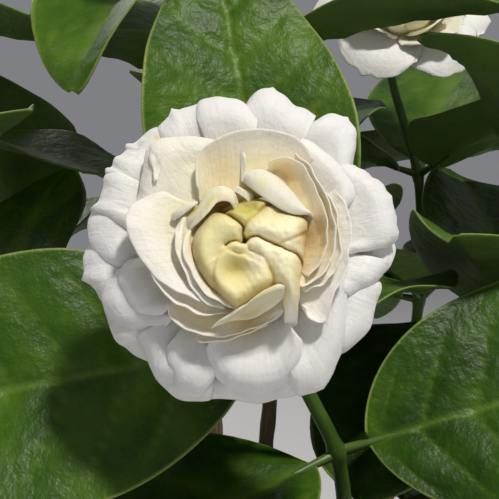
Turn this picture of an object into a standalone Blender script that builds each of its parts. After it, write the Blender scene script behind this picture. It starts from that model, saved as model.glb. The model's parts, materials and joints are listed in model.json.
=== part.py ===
"""A jasmine shrub with double white blooms, standing in a plain clay pot.

Metres, +Z up. The origin is the middle of the pot's underside, and the front is -Y.
Tables give lengths in millimetres and angles in degrees, and MM turns them into metres.
"""

import math
import random
from typing import NamedTuple

import bmesh
import bpy
import numpy as np
from mathutils import Matrix, Vector
from mathutils.bvhtree import BVHTree

MM = 0.001
GAP = 0.0003

# Pot and soil
POT_HEIGHT = 0.140
POT_TOP_RADIUS = 0.080
POT_BASE_RADIUS = 0.053
POT_WALL = 0.0065
POT_FLOOR = 0.009
POT_EDGE = 0.0015
POT_SLOPE_RADIUS = 0.004  # of the hollow's corner, where its wall meets the floor
RIM_DEPTH = 0.031
RIM_PROUD = 0.0045
RIM_STEP = 0.003  # height of the slant under the collar
DRAIN_RADIUS = 0.005
DRAIN_RING = 0.022
DRAIN_COUNT = 3
SOIL_BELOW_RIM = 0.018
SOIL_MOUND = 0.004
CROWN_DEPTH = 0.022
CROWN_RADIUS = 0.0075
CROWN_RISE = 0.010
ROUND_SIDES = 28
FLAT_WITHIN = 0.7  # faces this near to one plane are made one, in degrees
SHARP_OVER = 40  # edges sharper than this are shaded sharp, in degrees

# Stems
WOOD_SIDES = 6
GREEN_SIDES = 5
GREEN_RADIUS = 0.0014
PEDICEL_RADIUS = 0.0010
STEM_STEP = 0.018
PETIOLE = 5.0
PETIOLE_HALF = 0.8
LEAF_LENGTH = 62.0
LEAF_WIDTH = 38.0
LEAF_THICKNESS = 0.9
LEAF_STATIONS = (0.06, 0.26, 0.52, 0.80)
FRONT_STATIONS = (0.05, 0.20, 0.40, 0.62, 0.84)
LEAF_BASE = 0.62  # a lower number makes the blade's base blunter
LEAF_POINT = 0.80  # and this does the same for its tip
WHORL = 3
CLEARANCE = 1.6

# Blooms and buds
TUBE_LENGTH = 10.0
TUBE_RADIUS = 1.7
CORE = ((6.0, 0.4), (7.6, 2.2), (7.0, 5.0), (4.6, 8.2), (0, 9.2))
CALYX_LENGTH = 4.0
CALYX_RADIUS = 2.7
BLOOM_SEPALS = 8
BUD_SEPALS = 5
SEPAL_LENGTH = 7.5
SEPAL_SPREAD = 2.0
PETAL_THICKNESS = 0.8
BLOOM_SIDES = 10
BLOOM_SEEDS = {"left": 1, "back": 4, "back_right": 4}
BUD_SIDES = 6
BUD_HEAD = ((1.3, -2.0), (3.8, 3.0), (3.1, 7.5), (0, 11.0))
TIP_BUD = 0.85  # size of the middle bud of a shoot
SIDE_BUDS = ((1, 0.7), (-1, 0.6))  # side of the shoot and size of the other two
BUD_SPREAD = 0.75
BUD_REACH = 21.0
BUD_ON_BRANCH = 0.8
SEATED = 0.5  # how far a stem runs into its calyx

FRONT_BLOOM = (0.0, -85.0, 262.0)
FRONT_AXIS = (0.0, -math.cos(math.radians(16)), math.sin(math.radians(16)))


class Petal(NamedTuple):
    """A petal in its bloom's own frame, whose +Z is the bloom's axis."""

    turn: float  # where it stands round the axis
    line: tuple  # four control points of its middle line, each a radius and a height
    width: float
    wrap: float  # how far half its width turns towards the axis
    curl: float = 0.8  # how far its rim bends back
    wave: float = 0.4
    waves: float = 1.2
    phase: float = 0.0
    roll: float = 5.0
    shoulder: float = 0.62  # share of the length where the rounded end starts


class Leaf(NamedTuple):
    """A leaf and its petiole, from the middle of the stem to the tip."""

    root: tuple
    way: tuple  # where it points as it leaves the stem
    face: tuple  # where its upper side faces
    length: float = LEAF_LENGTH
    width: float = LEAF_WIDTH
    droop: float = 25.0
    fold: float = 14.0
    wave: float = 1.6
    phase: float = 0.0
    bend: float = 0.0  # sideways, at the tip


class Branch(NamedTuple):
    """A stem: wood up to the point numbered split, and a green leafy shoot after it."""

    name: str
    points: tuple
    split: int
    radius: float  # of the wood at its root, in mm
    tip: str  # bloom, buds or leaves
    place: tuple  # where the bloom's or the middle bud's petals start
    axis: tuple
    turn: float = 0.0  # of the first whorl


def back(reach, tip=1.5, rise=3.5):
    """Middle line of a petal that lies flat at the back."""
    return ((2.0, 0.0), (8.0, 0.4), (0.78 * reach, rise), (reach, tip))


def front(reach, tip=3.5, rise=6.5):
    """Middle line of a petal that arches over the back row."""
    return ((2.2, 0.8), (7.0, 2.6), (0.70 * reach, rise), (reach, tip))


def cup(reach, height, knee=9.5, low=2.2):
    """Middle line of a petal of the cup, open at its rim."""
    return ((2.6, 1.6), (knee, low), (0.82 * reach, 0.72 * height), (reach, height))


def wall(reach, height, knee=10.0, low=2.5):
    """Middle line of a petal that stands upright inside the cup."""
    return ((2.6, 2.2), (knee, low), (0.97 * reach, 0.6 * height), (reach, height))


def lobe(belly, height, tip=1.5, low=3.0, down=0.6):
    """Middle line of a petal that closes over the heart."""
    return ((2.2, 2.8), (1.42 * belly, low), (1.30 * belly, height + 2.4), (tip, height - down))


FRONT_OUTER = (
    Petal(-98, back(20.8), 21, 16, 1.0, 0.5, 1.2, 0.5),
    Petal(-142, back(20.6), 15, 16, 1.0, 0.5, 1.2, 1.5),
    Petal(187, back(21.3), 15, 14, 0.6, 0.5, 1.3, 2.4),
    Petal(65, back(20.8, 3.0, 4.5), 15, 16, 1.0, 0.5, 1.4, 3.0),
    Petal(143, back(21.2, 2.5, 4.5), 12, 16, 1.0, 0.5, 1.2, 0.1),
    Petal(-17, back(19.8, 2.0, 4.0), 15, 16, 1.1, 0.6, 1.4, 0.2),
    Petal(-36, back(20.8, 1.8, 3.8), 15, 16, 1.0, 0.6, 1.3, 1.2),
    Petal(99, front(21.0, 4.0), 18, 20, 1.3, 0.5, 1.2, 0.9),
    Petal(79, front(22.4, 2.0, 5.5), 11, 18, 1.2, 0.4, 1.0, 0.3),
    Petal(50, front(22.3, 3.4), 11, 22, 1.4, 0.5, 1.2, 1.6, shoulder=0.7),
    Petal(127, front(20.3, 4.0), 14, 22, 1.0, 0.6, 1.6, 2.0),
    Petal(157, front(20.4, 3.8), 14, 18, 1.4, 0.5, 1.2, 1.1),
    Petal(173, front(20.5, 3.0, 5.8), 14, 20, 1.3, 0.6, 1.2, 0.0),
    Petal(8, front(21.0, 4.2, 6.5), 20, 24, 1.8, 0.5, 1.2, 0.9, -4),
    Petal(-59, front(21.0, 3.5), 15, 20, 1.5, 0.5, 1.2, 0.4),
    Petal(-112, front(20.2, 3.2), 15, 20, 1.4, 0.6, 1.4, 2.6),
    Petal(-83, front(19.6, 5.0, 7.0), 19, 24, 2.2, 0.4, 1.0, 1.6, 0),
    Petal(200, front(19.6, 3.6), 15, 22, 1.6, 0.6, 1.6, 0.7),
    Petal(216, front(18.4, 5.0, 7.0), 13, 26, 1.8, 0.6, 1.4, 1.7),
)
FRONT_CUP = (
    Petal(26, cup(16.6, 7.5, 9.0, 3.0), 13, 28, 1.6, 0.4, 1.0, 0.6, -6),
    Petal(-45, cup(15.4, 6.5, 9.5, 3.0), 12, 28, 1.6, 0.4, 1.0, 1.9, 8),
    Petal(160, cup(15.9, 10.0), 21, 34, 0.9, 0.4, 1.1, 0.0),
    Petal(84, cup(14.8, 12.0), 19, 40, 0.5, 0.3, 1.1, 1.0),
    Petal(206, cup(13.4, 9.6), 15, 40, 0.7, 0.3, 1.2, 2.4),
    Petal(256, cup(13.2, 9.0, 9.5, 3.0), 17, 46, 0.9, 0.35, 1.6, 0.4),
    Petal(1, cup(14.7, 11.5), 19, 42, 0.6, 0.3, 1.2, 2.0),
    Petal(36, wall(13.0, 12.3), 19, 56, 0.4, 0.3, 1.4, 0.5),
    Petal(-18, wall(12.6, 11.5), 17, 56, 0.4, 0.3, 1.2, 1.5),
    Petal(238, wall(11.4, 10.2), 17, 60, 0.5, 0.3, 1.4, 2.5),
    Petal(190, wall(12.0, 11.0), 17, 56, 0.5, 0.3, 1.4, 0.8),
    Petal(132, wall(12.4, 11.6), 17, 54, 0.6, 0.3, 1.4, 1.8),
)
FRONT_HEART = (
    Petal(100, wall(9.8, 12.4, 8.5), 13, 66, 0.4, 0.4, 1.4, 1.2),
    Petal(145, wall(8.8, 12.2, 8.0), 13, 70, 0.9, 0.7, 2.4, 2.2),
    Petal(222, wall(9.2, 10.6, 8.5), 15, 74, 0.3, 0.3, 1.4, 0.6),
    Petal(280, wall(10.2, 9.6, 9.0), 14, 72, 0.3, 0.3, 1.4, 1.6),
    Petal(5, wall(10.6, 11.0, 9.0), 16, 70, 0.3, 0.3, 1.2, 2.6),
    Petal(52, wall(8.4, 13.0, 8.0, 3.0), 12, 50, 2.2, 0.3, 1.0, 0.2),
    Petal(92, lobe(7.0, 10.4, 1.5), 13, 60, 0.2, 0.5, 2.4, 1.8),
    Petal(188, lobe(6.9, 12.0, 0.8), 15, 66, -0.2, 0.25, 1.3, 0.5),
    Petal(-92, lobe(8.4, 11.2, 1.6), 15, 64, -0.2, 0.3, 1.3, 0.8),
    Petal(28, lobe(7.6, 12.4, 1.0), 12, 60, -0.2, 0.35, 1.2, 1.5),
    Petal(-44, lobe(9.6, 12.6, 0.9), 13, 62, -0.3, 0.35, 1.4, 2.5),
)
# Rings of the other blooms: count, first turn, middle line, width, wrap and curl
SIDE_RINGS = (
    (6, 0, front(20.5, 3.0), 19, 20, 1.4),
    (4, 30, cup(14.5, 10.5), 19, 42, 0.8),
    (3, 10, lobe(8.0, 12.4, 1.2), 18, 70, -0.2),
)

BRANCHES = (
    Branch("front", ((1, -2, 127), (9, -18, 150), (14, -34, 180), (17, -45, 203), (17.4, -49, 214),
                     (15.5, -55, 228), (6.0, -65, 247)), 3, 4.2, "bloom", FRONT_BLOOM, FRONT_AXIS, 20),
    Branch("top", ((0, 3, 127), (-2, 10, 160), (-6, 10, 200), (-8, 6, 236), (-9, 0, 262), (-9, -8, 290),
                   (-9, -12, 316)), 3, 4.6, "buds", (-7, -16, 346), (0.1, -0.25, 1.0), 0),
    Branch("left", ((-2, 2, 127), (-16, 6, 150), (-28, 6, 180), (-40, 2, 203), (-56, -5, 222),
                    (-72, -12, 238)), 3, 4.0, "bloom", (-92, -24, 252), (-0.78, -0.45, 0.44), 40),
    Branch("right", ((3, 1, 127), (20, 8, 150), (32, 10, 182), (44, 6, 210), (58, 0, 232),
                     (74, -4, 252)), 3, 4.2, "buds", (92, -8, 274), (0.6, -0.15, 0.75), 10),
    Branch("back_left", ((-16, 6, 150), (-24, 22, 175), (-34, 36, 202), (-45, 48, 226), (-56, 60, 250)),
           2, 3.2, "buds", (-64, 70, 276), (-0.35, 0.4, 0.85), 25),
    Branch("back", ((-2, 10, 160), (4, 30, 190), (6, 46, 220), (8, 60, 244), (9, 74, 266)),
           2, 3.2, "bloom", (10, 94, 284), (0.1, 0.80, 0.58), 50),
    Branch("back_right", ((20, 8, 150), (30, 24, 182), (37, 34, 214), (42, 40, 242), (42, 43, 272)),
           2, 3.2, "bloom", (36, 32, 307), (0.05, -0.82, 0.57), 5),
    Branch("front_left", ((9, -18, 150), (-4, -30, 163), (-18, -42, 176), (-36, -56, 192), (-52, -68, 206)),
           2, 3.0, "buds", (-72, -82, 222), (-0.62, -0.45, 0.62), 15),
    Branch("low_left", ((-16, 6, 150), (-30, -2, 160), (-44, -10, 172), (-60, -16, 186)), 1, 2.6, "leaves",
           (-78, -22, 200), (-0.7, -0.25, 0.55), 5),
    Branch("low_back", ((10, 6, 140), (22, 22, 156), (34, 38, 170), (48, 54, 184)), 1, 2.6, "leaves",
           (60, 68, 196), (0.6, 0.6, 0.5), 30),
    Branch("low_right", ((14, 4, 138), (30, -8, 156), (44, -22, 170), (60, -36, 184), (76, -48, 196)),
           2, 3.0, "buds", (98, -62, 210), (0.70, -0.42, 0.55), 35),
)
# Outlines, radius and height, of the room that leaves keep clear of blooms, of buds and before the front bloom
BLOOM_ROOM = ((0, -9), (5, -9), (23, -1.5), (24, 6), (17, 16), (17, 60), (0, 60))
BUD_ROOM = ((0, -9), (5, -9), (6, 8), (0, 12))
VIEW_ROOM = ((0, 4), (27, 4), (36, 90), (0, 90))
VIEW_AXIS = (0, -1, 0.06)
# Leaves of the front shoot that stand by the bloom
FRONT_LEAVES = (
    Leaf((6.0, -65, 247), (-1.0, -0.16, -0.14), (-0.1, -0.86, 0.46), 69, 40, 12, 12, 1.4, 0.6),
    Leaf((6.0, -65, 247), (-0.15, 0.22, 0.97), (0.12, -0.97, 0.22), 64, 33, 16, 14, 1.8, 2.0),
    Leaf((6.0, -65, 247), (0.42, 0.86, 0.20), (-0.1, -0.3, 0.95), 58, 35, 24, 14, 1.6, 4.0),
    Leaf((15.5, -55, 228), (0.92, -0.12, 0.31), (-0.28, -0.80, 0.50), 68, 40, 16, 12, 1.8, 1.0),
    Leaf((15.5, -55, 228), (-0.80, -0.38, -0.30), (-0.35, -0.50, 0.80), 60, 36, 18, 14, 1.6, 3.0),
)
# Leaf of the top shoot that hangs down behind the bloom's left
HANGING_LEAF = Leaf((-9, -12, 316), (-0.37, -0.84, -0.33), (-0.35, -0.30, 0.88), 54, 30, 30, 18, 1.6, 0.4)
# Turn, pitch and size that a leaf tries, in this order, until it is clear of all the others
TRIES = tuple((turn, pitch, size) for size in (1.0, 0.86, 0.72) for pitch in (0, -14, 14, -28, 26)
              for turn in (0, 12, -12, 24, -24, 36, -36))


def clear_scene():
    for thing in list(bpy.data.objects):
        bpy.data.objects.remove(thing)


def finish(name, colour, roughness):
    """Principled material of one colour."""
    made = bpy.data.materials.new(name)
    made.use_nodes = True
    shader = made.node_tree.nodes["Principled BSDF"]
    shader.inputs["Base Color"].default_value = (*colour, 1.0)
    shader.inputs["Roughness"].default_value = roughness
    return made


def unit(vector):
    vector = np.array(vector, float)
    return vector / np.linalg.norm(vector)


def ease(value, low, high):
    """Smooth step from 0 at low to 1 at high."""
    share = np.clip((value - low) / (high - low), 0, 1)
    return share * share * (3 - 2 * share)


def add_solid(name, points, faces, material=None, smooth=True):
    """Object from points and faces, joined at shared points, with faces pointing out."""
    mesh = bpy.data.meshes.new(name)
    mesh.from_pydata([tuple(p) for p in points], [], faces)
    work = bmesh.new()
    work.from_mesh(mesh)
    bmesh.ops.remove_doubles(work, verts=work.verts, dist=1e-6)
    bmesh.ops.recalc_face_normals(work, faces=work.faces)
    work.to_mesh(mesh)
    work.free()
    solid = bpy.data.objects.new(name, mesh)
    bpy.context.collection.objects.link(solid)
    if smooth:
        mesh.shade_smooth()
        mesh.set_sharp_from_angle(angle=math.radians(SHARP_OVER))
    if material:
        mesh.materials.append(material)
    return solid


def fuse(name, base, parts, material, solver="EXACT"):
    """One body from base and parts, by a Boolean union that is applied here."""
    pile = bpy.data.collections.new(name + "_parts")
    for part in parts:
        pile.objects.link(part)
    join = base.modifiers.new("Join", "BOOLEAN")
    join.operation = "UNION"
    join.operand_type = "COLLECTION"
    join.collection = pile
    join.solver = solver
    joined = bpy.data.meshes.new_from_object(base.evaluated_get(bpy.context.evaluated_depsgraph_get()))
    work = bmesh.new()
    work.from_mesh(joined)
    bmesh.ops.dissolve_limit(work, angle_limit=math.radians(FLAT_WITHIN), verts=work.verts, edges=work.edges)
    bmesh.ops.triangulate(work, faces=work.faces)
    drop_scraps(work)
    work.to_mesh(joined)
    work.free()
    for part in parts:
        bpy.data.objects.remove(part)
    bpy.data.objects.remove(base)
    bpy.data.collections.remove(pile)
    joined.materials.clear()
    joined.materials.append(material)
    joined.shade_smooth()
    joined.set_sharp_from_angle(angle=math.radians(SHARP_OVER))
    solid = bpy.data.objects.new(name, joined)
    bpy.context.collection.objects.link(solid)
    return solid


def drop_scraps(work):
    """Keeps only the largest connected piece of a mesh."""
    left = set(work.verts)
    pieces = []
    while left:
        stack = [left.pop()]
        piece = set(stack)
        while stack:
            for edge in stack.pop().link_edges:
                for vert in edge.verts:
                    if vert in left:
                        left.remove(vert)
                        piece.add(vert)
                        stack.append(vert)
        pieces.append(piece)
    pieces.sort(key=len)
    for piece in pieces[:-1]:
        bmesh.ops.delete(work, geom=list(piece), context="VERTS")


def turned(profile, sides):
    """Points and faces of a closed body turned round +Z from (radius, height) points."""
    points = []
    rings = []
    for radius, height in profile:
        if radius == 0:
            rings.append([len(points)] * sides)
            points.append((0.0, 0.0, height))
            continue
        rings.append([len(points) + i for i in range(sides)])
        for i in range(sides):
            angle = math.tau * i / sides
            points.append((radius * math.cos(angle), radius * math.sin(angle), height))
    faces = []
    for low, high in zip(rings, rings[1:] + rings[:1]):
        for i in range(sides):
            corners = [low[i], low[(i + 1) % sides], high[(i + 1) % sides], high[i]]
            corners = list(dict.fromkeys(corners))
            if len(corners) > 2:
                faces.append(corners)
    return points, faces


def tube(points, ways, radii, sides):
    """Points and faces of a round bar along a path, with flat ends square to it."""
    side = np.cross(ways[0], (0.0, 0.0, 1.0))
    if np.linalg.norm(side) < 0.2:
        side = np.cross(ways[0], (1.0, 0.0, 0.0))
    verts = []
    for point, way, radius in zip(points, ways, radii):
        side = unit(side - way * np.dot(side, way))
        other = np.cross(way, side)
        for i in range(sides):
            angle = math.tau * i / sides
            verts.append(point + radius * (side * math.cos(angle) + other * math.sin(angle)))
    faces = []
    for ring in range(len(points) - 1):
        for i in range(sides):
            j = (i + 1) % sides
            faces.append((ring * sides + i, ring * sides + j, (ring + 1) * sides + j, (ring + 1) * sides + i))
    last = (len(points) - 1) * sides
    faces.append(tuple(reversed(range(sides))))
    faces.append(tuple(range(last, last + sides)))
    return verts, faces


def path_through(points, step):
    """Smooth path through the points, with the place along it of each point."""
    p = np.array(points, float)
    p = np.vstack([2 * p[0] - p[1], p, 2 * p[-1] - p[-2]])
    path = []
    marks = []
    for a, b, c, d in zip(p[:-3], p[1:-2], p[2:-1], p[3:]):
        marks.append(len(path))
        count = max(1, round(np.linalg.norm(c - b) / step))
        for t in np.arange(count) / count:
            path.append(0.5 * (2 * b + (c - a) * t + (2 * a - 5 * b + 4 * c - d) * t ** 2
                               + (3 * b - a - 3 * c + d) * t ** 3))
    marks.append(len(path))
    path.append(p[-2])
    path = np.array(path)
    ways = np.gradient(path, axis=0)
    return path, ways / np.linalg.norm(ways, axis=1)[:, None], marks


def frame_at(place, axis):
    """Matrix of a bloom's frame: +Z along its axis and +X level."""
    z = Vector(axis).normalized()
    x = Vector((0, 0, 1)).cross(z).normalized()
    y = z.cross(x)
    turn = Matrix((x, y, z)).transposed().to_4x4()
    return Matrix.Translation(Vector(place) * MM) @ turn


def petal_points(petal, s, u):
    """Points at share s of the way to the petal's end and share u, -1 to 1, of its half width."""
    k = np.linspace(0, 1, 81)
    r0, r1, r2, r3 = np.array(petal.line, float)
    line = (np.outer((1 - k) ** 3, r0) + np.outer(3 * k * (1 - k) ** 2, r1)
            + np.outer(3 * k ** 2 * (1 - k), r2) + np.outer(k ** 3, r3))
    run = np.concatenate([[0], np.cumsum(np.hypot(*np.diff(line, axis=0).T))])
    slope = np.gradient(line, axis=0)
    lean = np.unwrap(np.arctan2(slope[:, 0], slope[:, 1]))
    end = petal.shoulder + (1 - petal.shoulder) * (1 - np.abs(u) ** 2.3) ** 0.5
    along = s * end * run[-1]
    radius, height, lean = (np.interp(along, run, f) for f in (line[:, 0], line[:, 1], lean))
    half = 0.5 * petal.width
    wide = 0.30 + 0.70 * np.sin(np.clip(s / 0.86, 0, 1) * math.pi / 2) ** 1.2
    across = u * half * wide * (1 - 0.10 * ease(s, 0.86, 1.0))
    arc = math.radians(petal.wrap) / half
    side = np.sin(arc * across) / arc
    lift = (1 - np.cos(arc * across)) / arc
    rim = (np.abs(u * ease(s, 0.1, 0.8)) ** 6 + s ** 6) ** (1 / 6)
    lift = lift - petal.curl * ease(rim, 0.70, 1.05)
    lift = lift + petal.wave * ease(s, 0.25, 1.0) * np.sin(math.pi * petal.waves * u + petal.phase)
    roll = math.radians(petal.roll) * ease(s, 0.1, 0.8)
    side, lift = side * np.cos(roll) - lift * np.sin(roll), side * np.sin(roll) + lift * np.cos(roll)
    radius = radius - lift * np.cos(lean)
    height = height + lift * np.sin(lean)
    turn = math.radians(petal.turn)
    return MM * np.stack([radius * math.cos(turn) - side * math.sin(turn),
                          radius * math.sin(turn) + side * math.cos(turn), height], axis=-1)


def petal_solid(petal, rows, columns):
    """Points and faces of a thin petal whose two faces meet at its edge."""
    s, u = np.meshgrid(np.linspace(0, 1, rows), np.linspace(-1, 1, columns), indexing="ij")
    step = 0.02
    middle = petal_points(petal, s, u)
    along = petal_points(petal, np.clip(s + step, 0, 1), u) - petal_points(petal, np.clip(s - step, 0, 1), u)
    over = petal_points(petal, s, np.clip(u + step, -1, 1)) - petal_points(petal, s, np.clip(u - step, -1, 1))
    normal = np.cross(over, along)
    normal = normal / np.linalg.norm(normal, axis=-1, keepdims=True)
    half = 0.5 * PETAL_THICKNESS * MM
    points = list(middle.reshape(-1, 3))
    upper = np.arange(rows * columns).reshape(rows, columns)
    lower = upper.copy()
    for i in range(1, rows - 1):
        for j in range(1, columns - 1):
            points[upper[i, j]] = middle[i, j] + half * normal[i, j]
            lower[i, j] = len(points)
            points.append(middle[i, j] - half * normal[i, j])
    faces = []
    for grid, flip in ((upper, 1), (lower, -1)):
        for i in range(rows - 1):
            for j in range(columns - 1):
                a, b, c, d = grid[i, j], grid[i, j + 1], grid[i + 1, j + 1], grid[i + 1, j]
                if (i < (rows - 1) / 2) == (j < (columns - 1) / 2):
                    pair = ((a, b, c), (a, c, d))
                else:
                    pair = ((a, b, d), (b, c, d))
                faces.extend(tuple(int(v) for v in t[::flip]) for t in pair)
    return points, faces


def side_petals(name):
    """Petals of a bloom that is made by rule."""
    draw = random.Random(f"{name} {BLOOM_SEEDS[name]}")
    petals = []
    for count, first, line, width, wrap, curl in SIDE_RINGS:
        for i in range(count):
            turn = first + 360 * i / count + draw.uniform(-7, 7)
            petals.append(Petal(turn, line, width * draw.uniform(0.92, 1.06), wrap, curl, 0.4, 1.2,
                                draw.uniform(0, 3)))
    return petals


def place_points(points, frame):
    return [frame @ Vector(p) for p in points]


def corolla(name, petals, frame, material, fine):
    """White bloom: a tube, a core that the petals are rooted in, and the petals."""
    profile = [(0, -TUBE_LENGTH), (TUBE_RADIUS, -TUBE_LENGTH), (TUBE_RADIUS, -2.5), *CORE]
    points, faces = turned([(r * MM, h * MM) for r, h in profile], BLOOM_SIDES)
    base = add_solid(name + "_core", place_points(points, frame), faces)
    parts = []
    for petal in petals:
        closes = fine and petal.line[3][0] < 5
        points, faces = petal_solid(petal, 5 if closes else 4, 4)
        parts.append(add_solid(name + "_petal", place_points(points, frame), faces))
    return fuse(name, base, parts, material, "MANIFOLD")


def bud(name, frame, size, material):
    """White bud: a slim tube with a pointed, swollen head."""
    length = TUBE_LENGTH * size
    profile = [(0, -length), (1.1 * size, -length)] + [(r * size, h * size) for r, h in BUD_HEAD]
    points, faces = turned([(r * MM, h * MM) for r, h in profile], BUD_SIDES)
    return add_solid(name, place_points(points, frame), faces, material)


def calyx_solid(name, frame, size, sepals):
    """Green cup under a corolla, whose rim runs out into narrow pointed sepals."""
    top = -TUBE_LENGTH * size - GAP / MM
    bottom = top - CALYX_LENGTH * size
    inner = TUBE_RADIUS * size + 0.4
    rim = max(CALYX_RADIUS * size, inner + 0.5)
    rings = [(1.5 * size, bottom, 0.0), (rim, top - 1.0 * size, 0.0),
             (rim + SEPAL_SPREAD * size, top + SEPAL_LENGTH * size, 0.5), (inner, top, 0.0)]
    points = [(0.0, 0.0, bottom), (0.0, 0.0, top)]
    for radius, height, shift in rings:
        for i in range(sepals):
            angle = math.tau * (i + shift) / sepals
            points.append((radius * math.cos(angle), radius * math.sin(angle), height))
    faces = []
    for i in range(sepals):
        j = (i + 1) % sepals
        low, side, tip, seat = (2 + ring * sepals + i for ring in range(4))
        low_next, side_next, seat_next = (2 + ring * sepals + j for ring in (0, 1, 3))
        faces += [(0, low_next, low), (low, low_next, side_next, side), (side, side_next, tip),
                  (seat, tip, seat_next), (side, tip, seat), (side_next, seat_next, tip), (1, seat, seat_next)]
    return add_solid(name + "_calyx", place_points([Vector(p) * MM for p in points], frame), faces)


def leaf_midrib(leaf, s):
    """Place, way and upward direction of the midrib at share s, negative on the petiole."""
    way = unit(leaf.way)
    face = unit(np.array(leaf.face) - way * np.dot(leaf.face, way))
    side = np.cross(way, face)
    k = np.linspace(-PETIOLE / leaf.length, 1, 121)
    angle = math.radians(leaf.droop) * np.clip(k, 0, 1) ** 1.2
    ways = np.outer(np.cos(angle), way) - np.outer(np.sin(angle), face)
    steps = (ways[1:] + ways[:-1]) / 2 * (k[1] - k[0]) * leaf.length
    line = np.array(leaf.root) + np.vstack([np.zeros(3), np.cumsum(steps, axis=0)])
    line = line + np.outer(leaf.bend * np.clip(k, 0, 1) ** 2, side)
    s = np.asarray(s, float)
    middle = np.stack([np.interp(s, k, line[:, i]) for i in range(3)], axis=-1)
    angle = np.interp(s, k, angle)[..., None]
    return middle, side, np.cos(angle) * face + np.sin(angle) * way


def leaf_half_width(leaf, s):
    """Half the blade's width: broad below the middle, with a short drawn-out tip."""
    s = np.clip(s, 0, 1)
    shape = s ** LEAF_BASE * (1 - s) ** LEAF_POINT
    widest = LEAF_BASE / (LEAF_BASE + LEAF_POINT)
    return 0.5 * leaf.width * shape / (widest ** LEAF_BASE * (1 - widest) ** LEAF_POINT)


def leaf_points(leaf, s, u):
    """Points in mm at share s along the blade and share u, -1 to 1, of its half width."""
    middle, side, up = leaf_midrib(leaf, s)
    across = u * leaf_half_width(leaf, s)
    rise = np.sqrt(across ** 2 + 1.0) - 1.0
    rise = rise * math.sin(math.radians(leaf.fold))
    rise = rise + leaf.wave * u ** 2 * np.sin(math.tau * 1.6 * s + leaf.phase + np.where(u > 0, 1.9, 0.0))
    return middle + across[..., None] * side + rise[..., None] * up


def leaf_solid(leaf, swell=0.0, petiole=True, stations=LEAF_STATIONS):
    """Points and faces of a leaf, four points round at each station from the stem to the tip."""
    stations = np.array(stations)
    thick = 0.5 * LEAF_THICKNESS + swell
    rows = []
    if petiole:
        root, side, up = leaf_midrib(leaf, np.array([-PETIOLE / leaf.length, -0.01]))
        for place, lift in zip(root, up):
            side_step, lift_step = PETIOLE_HALF * side, PETIOLE_HALF * lift
            rows.append([place - side_step, place + lift_step, place + side_step, place - lift_step])
    middle, side, up = leaf_midrib(leaf, stations)
    left = leaf_points(leaf, stations, np.full(len(stations), -1.0))
    right = leaf_points(leaf, stations, np.full(len(stations), 1.0))
    for i in range(len(stations)):
        out = side * swell
        rows.append([left[i] - out, middle[i] + thick * up[i], right[i] + out, middle[i] - thick * up[i]])
    tip = leaf_points(leaf, np.array([1.0]), np.array([0.0]))[0]
    points = [p * MM for row in rows for p in row] + [tip * MM]
    faces = [(0, 1, 2), (0, 2, 3)]
    for r in range(len(rows) - 1):
        a, b = 4 * r, 4 * r + 4
        faces += [(a, b, b + 1), (a, b + 1, a + 1), (a + 1, b + 1, b + 2), (a + 1, b + 2, a + 2)]
        faces += [(a, b + 3, b), (a, a + 3, b + 3), (a + 3, b + 2, b + 3), (a + 3, a + 2, b + 2)]
    a = 4 * (len(rows) - 1)
    faces += [(a, len(points) - 1, a + 1), (a + 1, len(points) - 1, a + 2),
              (a, a + 3, len(points) - 1), (a + 3, a + 2, len(points) - 1)]
    return points, faces


class Obstacles:
    """What is already placed, to keep the next leaf clear of it."""

    def __init__(self):
        self.points = []
        self.faces = []
        self.tree = None

    def add(self, points, faces):
        first = len(self.points)
        self.points += [tuple(p) for p in points]
        self.faces += [tuple(first + int(v) for v in face) for face in faces]
        self.tree = None

    def meets(self, points, faces):
        if self.tree is None:
            self.tree = BVHTree.FromPolygons(self.points, self.faces)
        return bool(self.tree.overlap(BVHTree.FromPolygons([tuple(p) for p in points], faces)))


def branch_path(branch):
    """Path of a branch, its directions, and where its points lie along it."""
    axis = unit(branch.axis)
    if branch.tip == "leaves":
        return path_through(np.array([*branch.points, branch.place]) * MM, STEM_STEP)
    size = 1.0 if branch.tip == "bloom" else BUD_ON_BRANCH
    end = np.array(branch.place) - axis * ((TUBE_LENGTH + CALYX_LENGTH) * size - SEATED)
    points = list(branch.points) + [tuple(end - 5.0 * axis), tuple(end)]
    return path_through(np.array(points) * MM, STEM_STEP)


def bud_frames(branch):
    """Places and axes of the three buds at the end of a shoot."""
    axis = unit(branch.axis)
    middle = np.array(branch.place)
    root = np.array(branch.points[-1])
    frames = [(middle, axis, TIP_BUD)]
    level = unit(np.cross(axis, (0, 0, 1)))
    for sign, size in SIDE_BUDS:
        way = unit(axis + BUD_SPREAD * sign * level + np.array((0, 0, 0.1)))
        frames.append((root + 5.0 * axis + BUD_REACH * way, way, size))
    return frames


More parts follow.
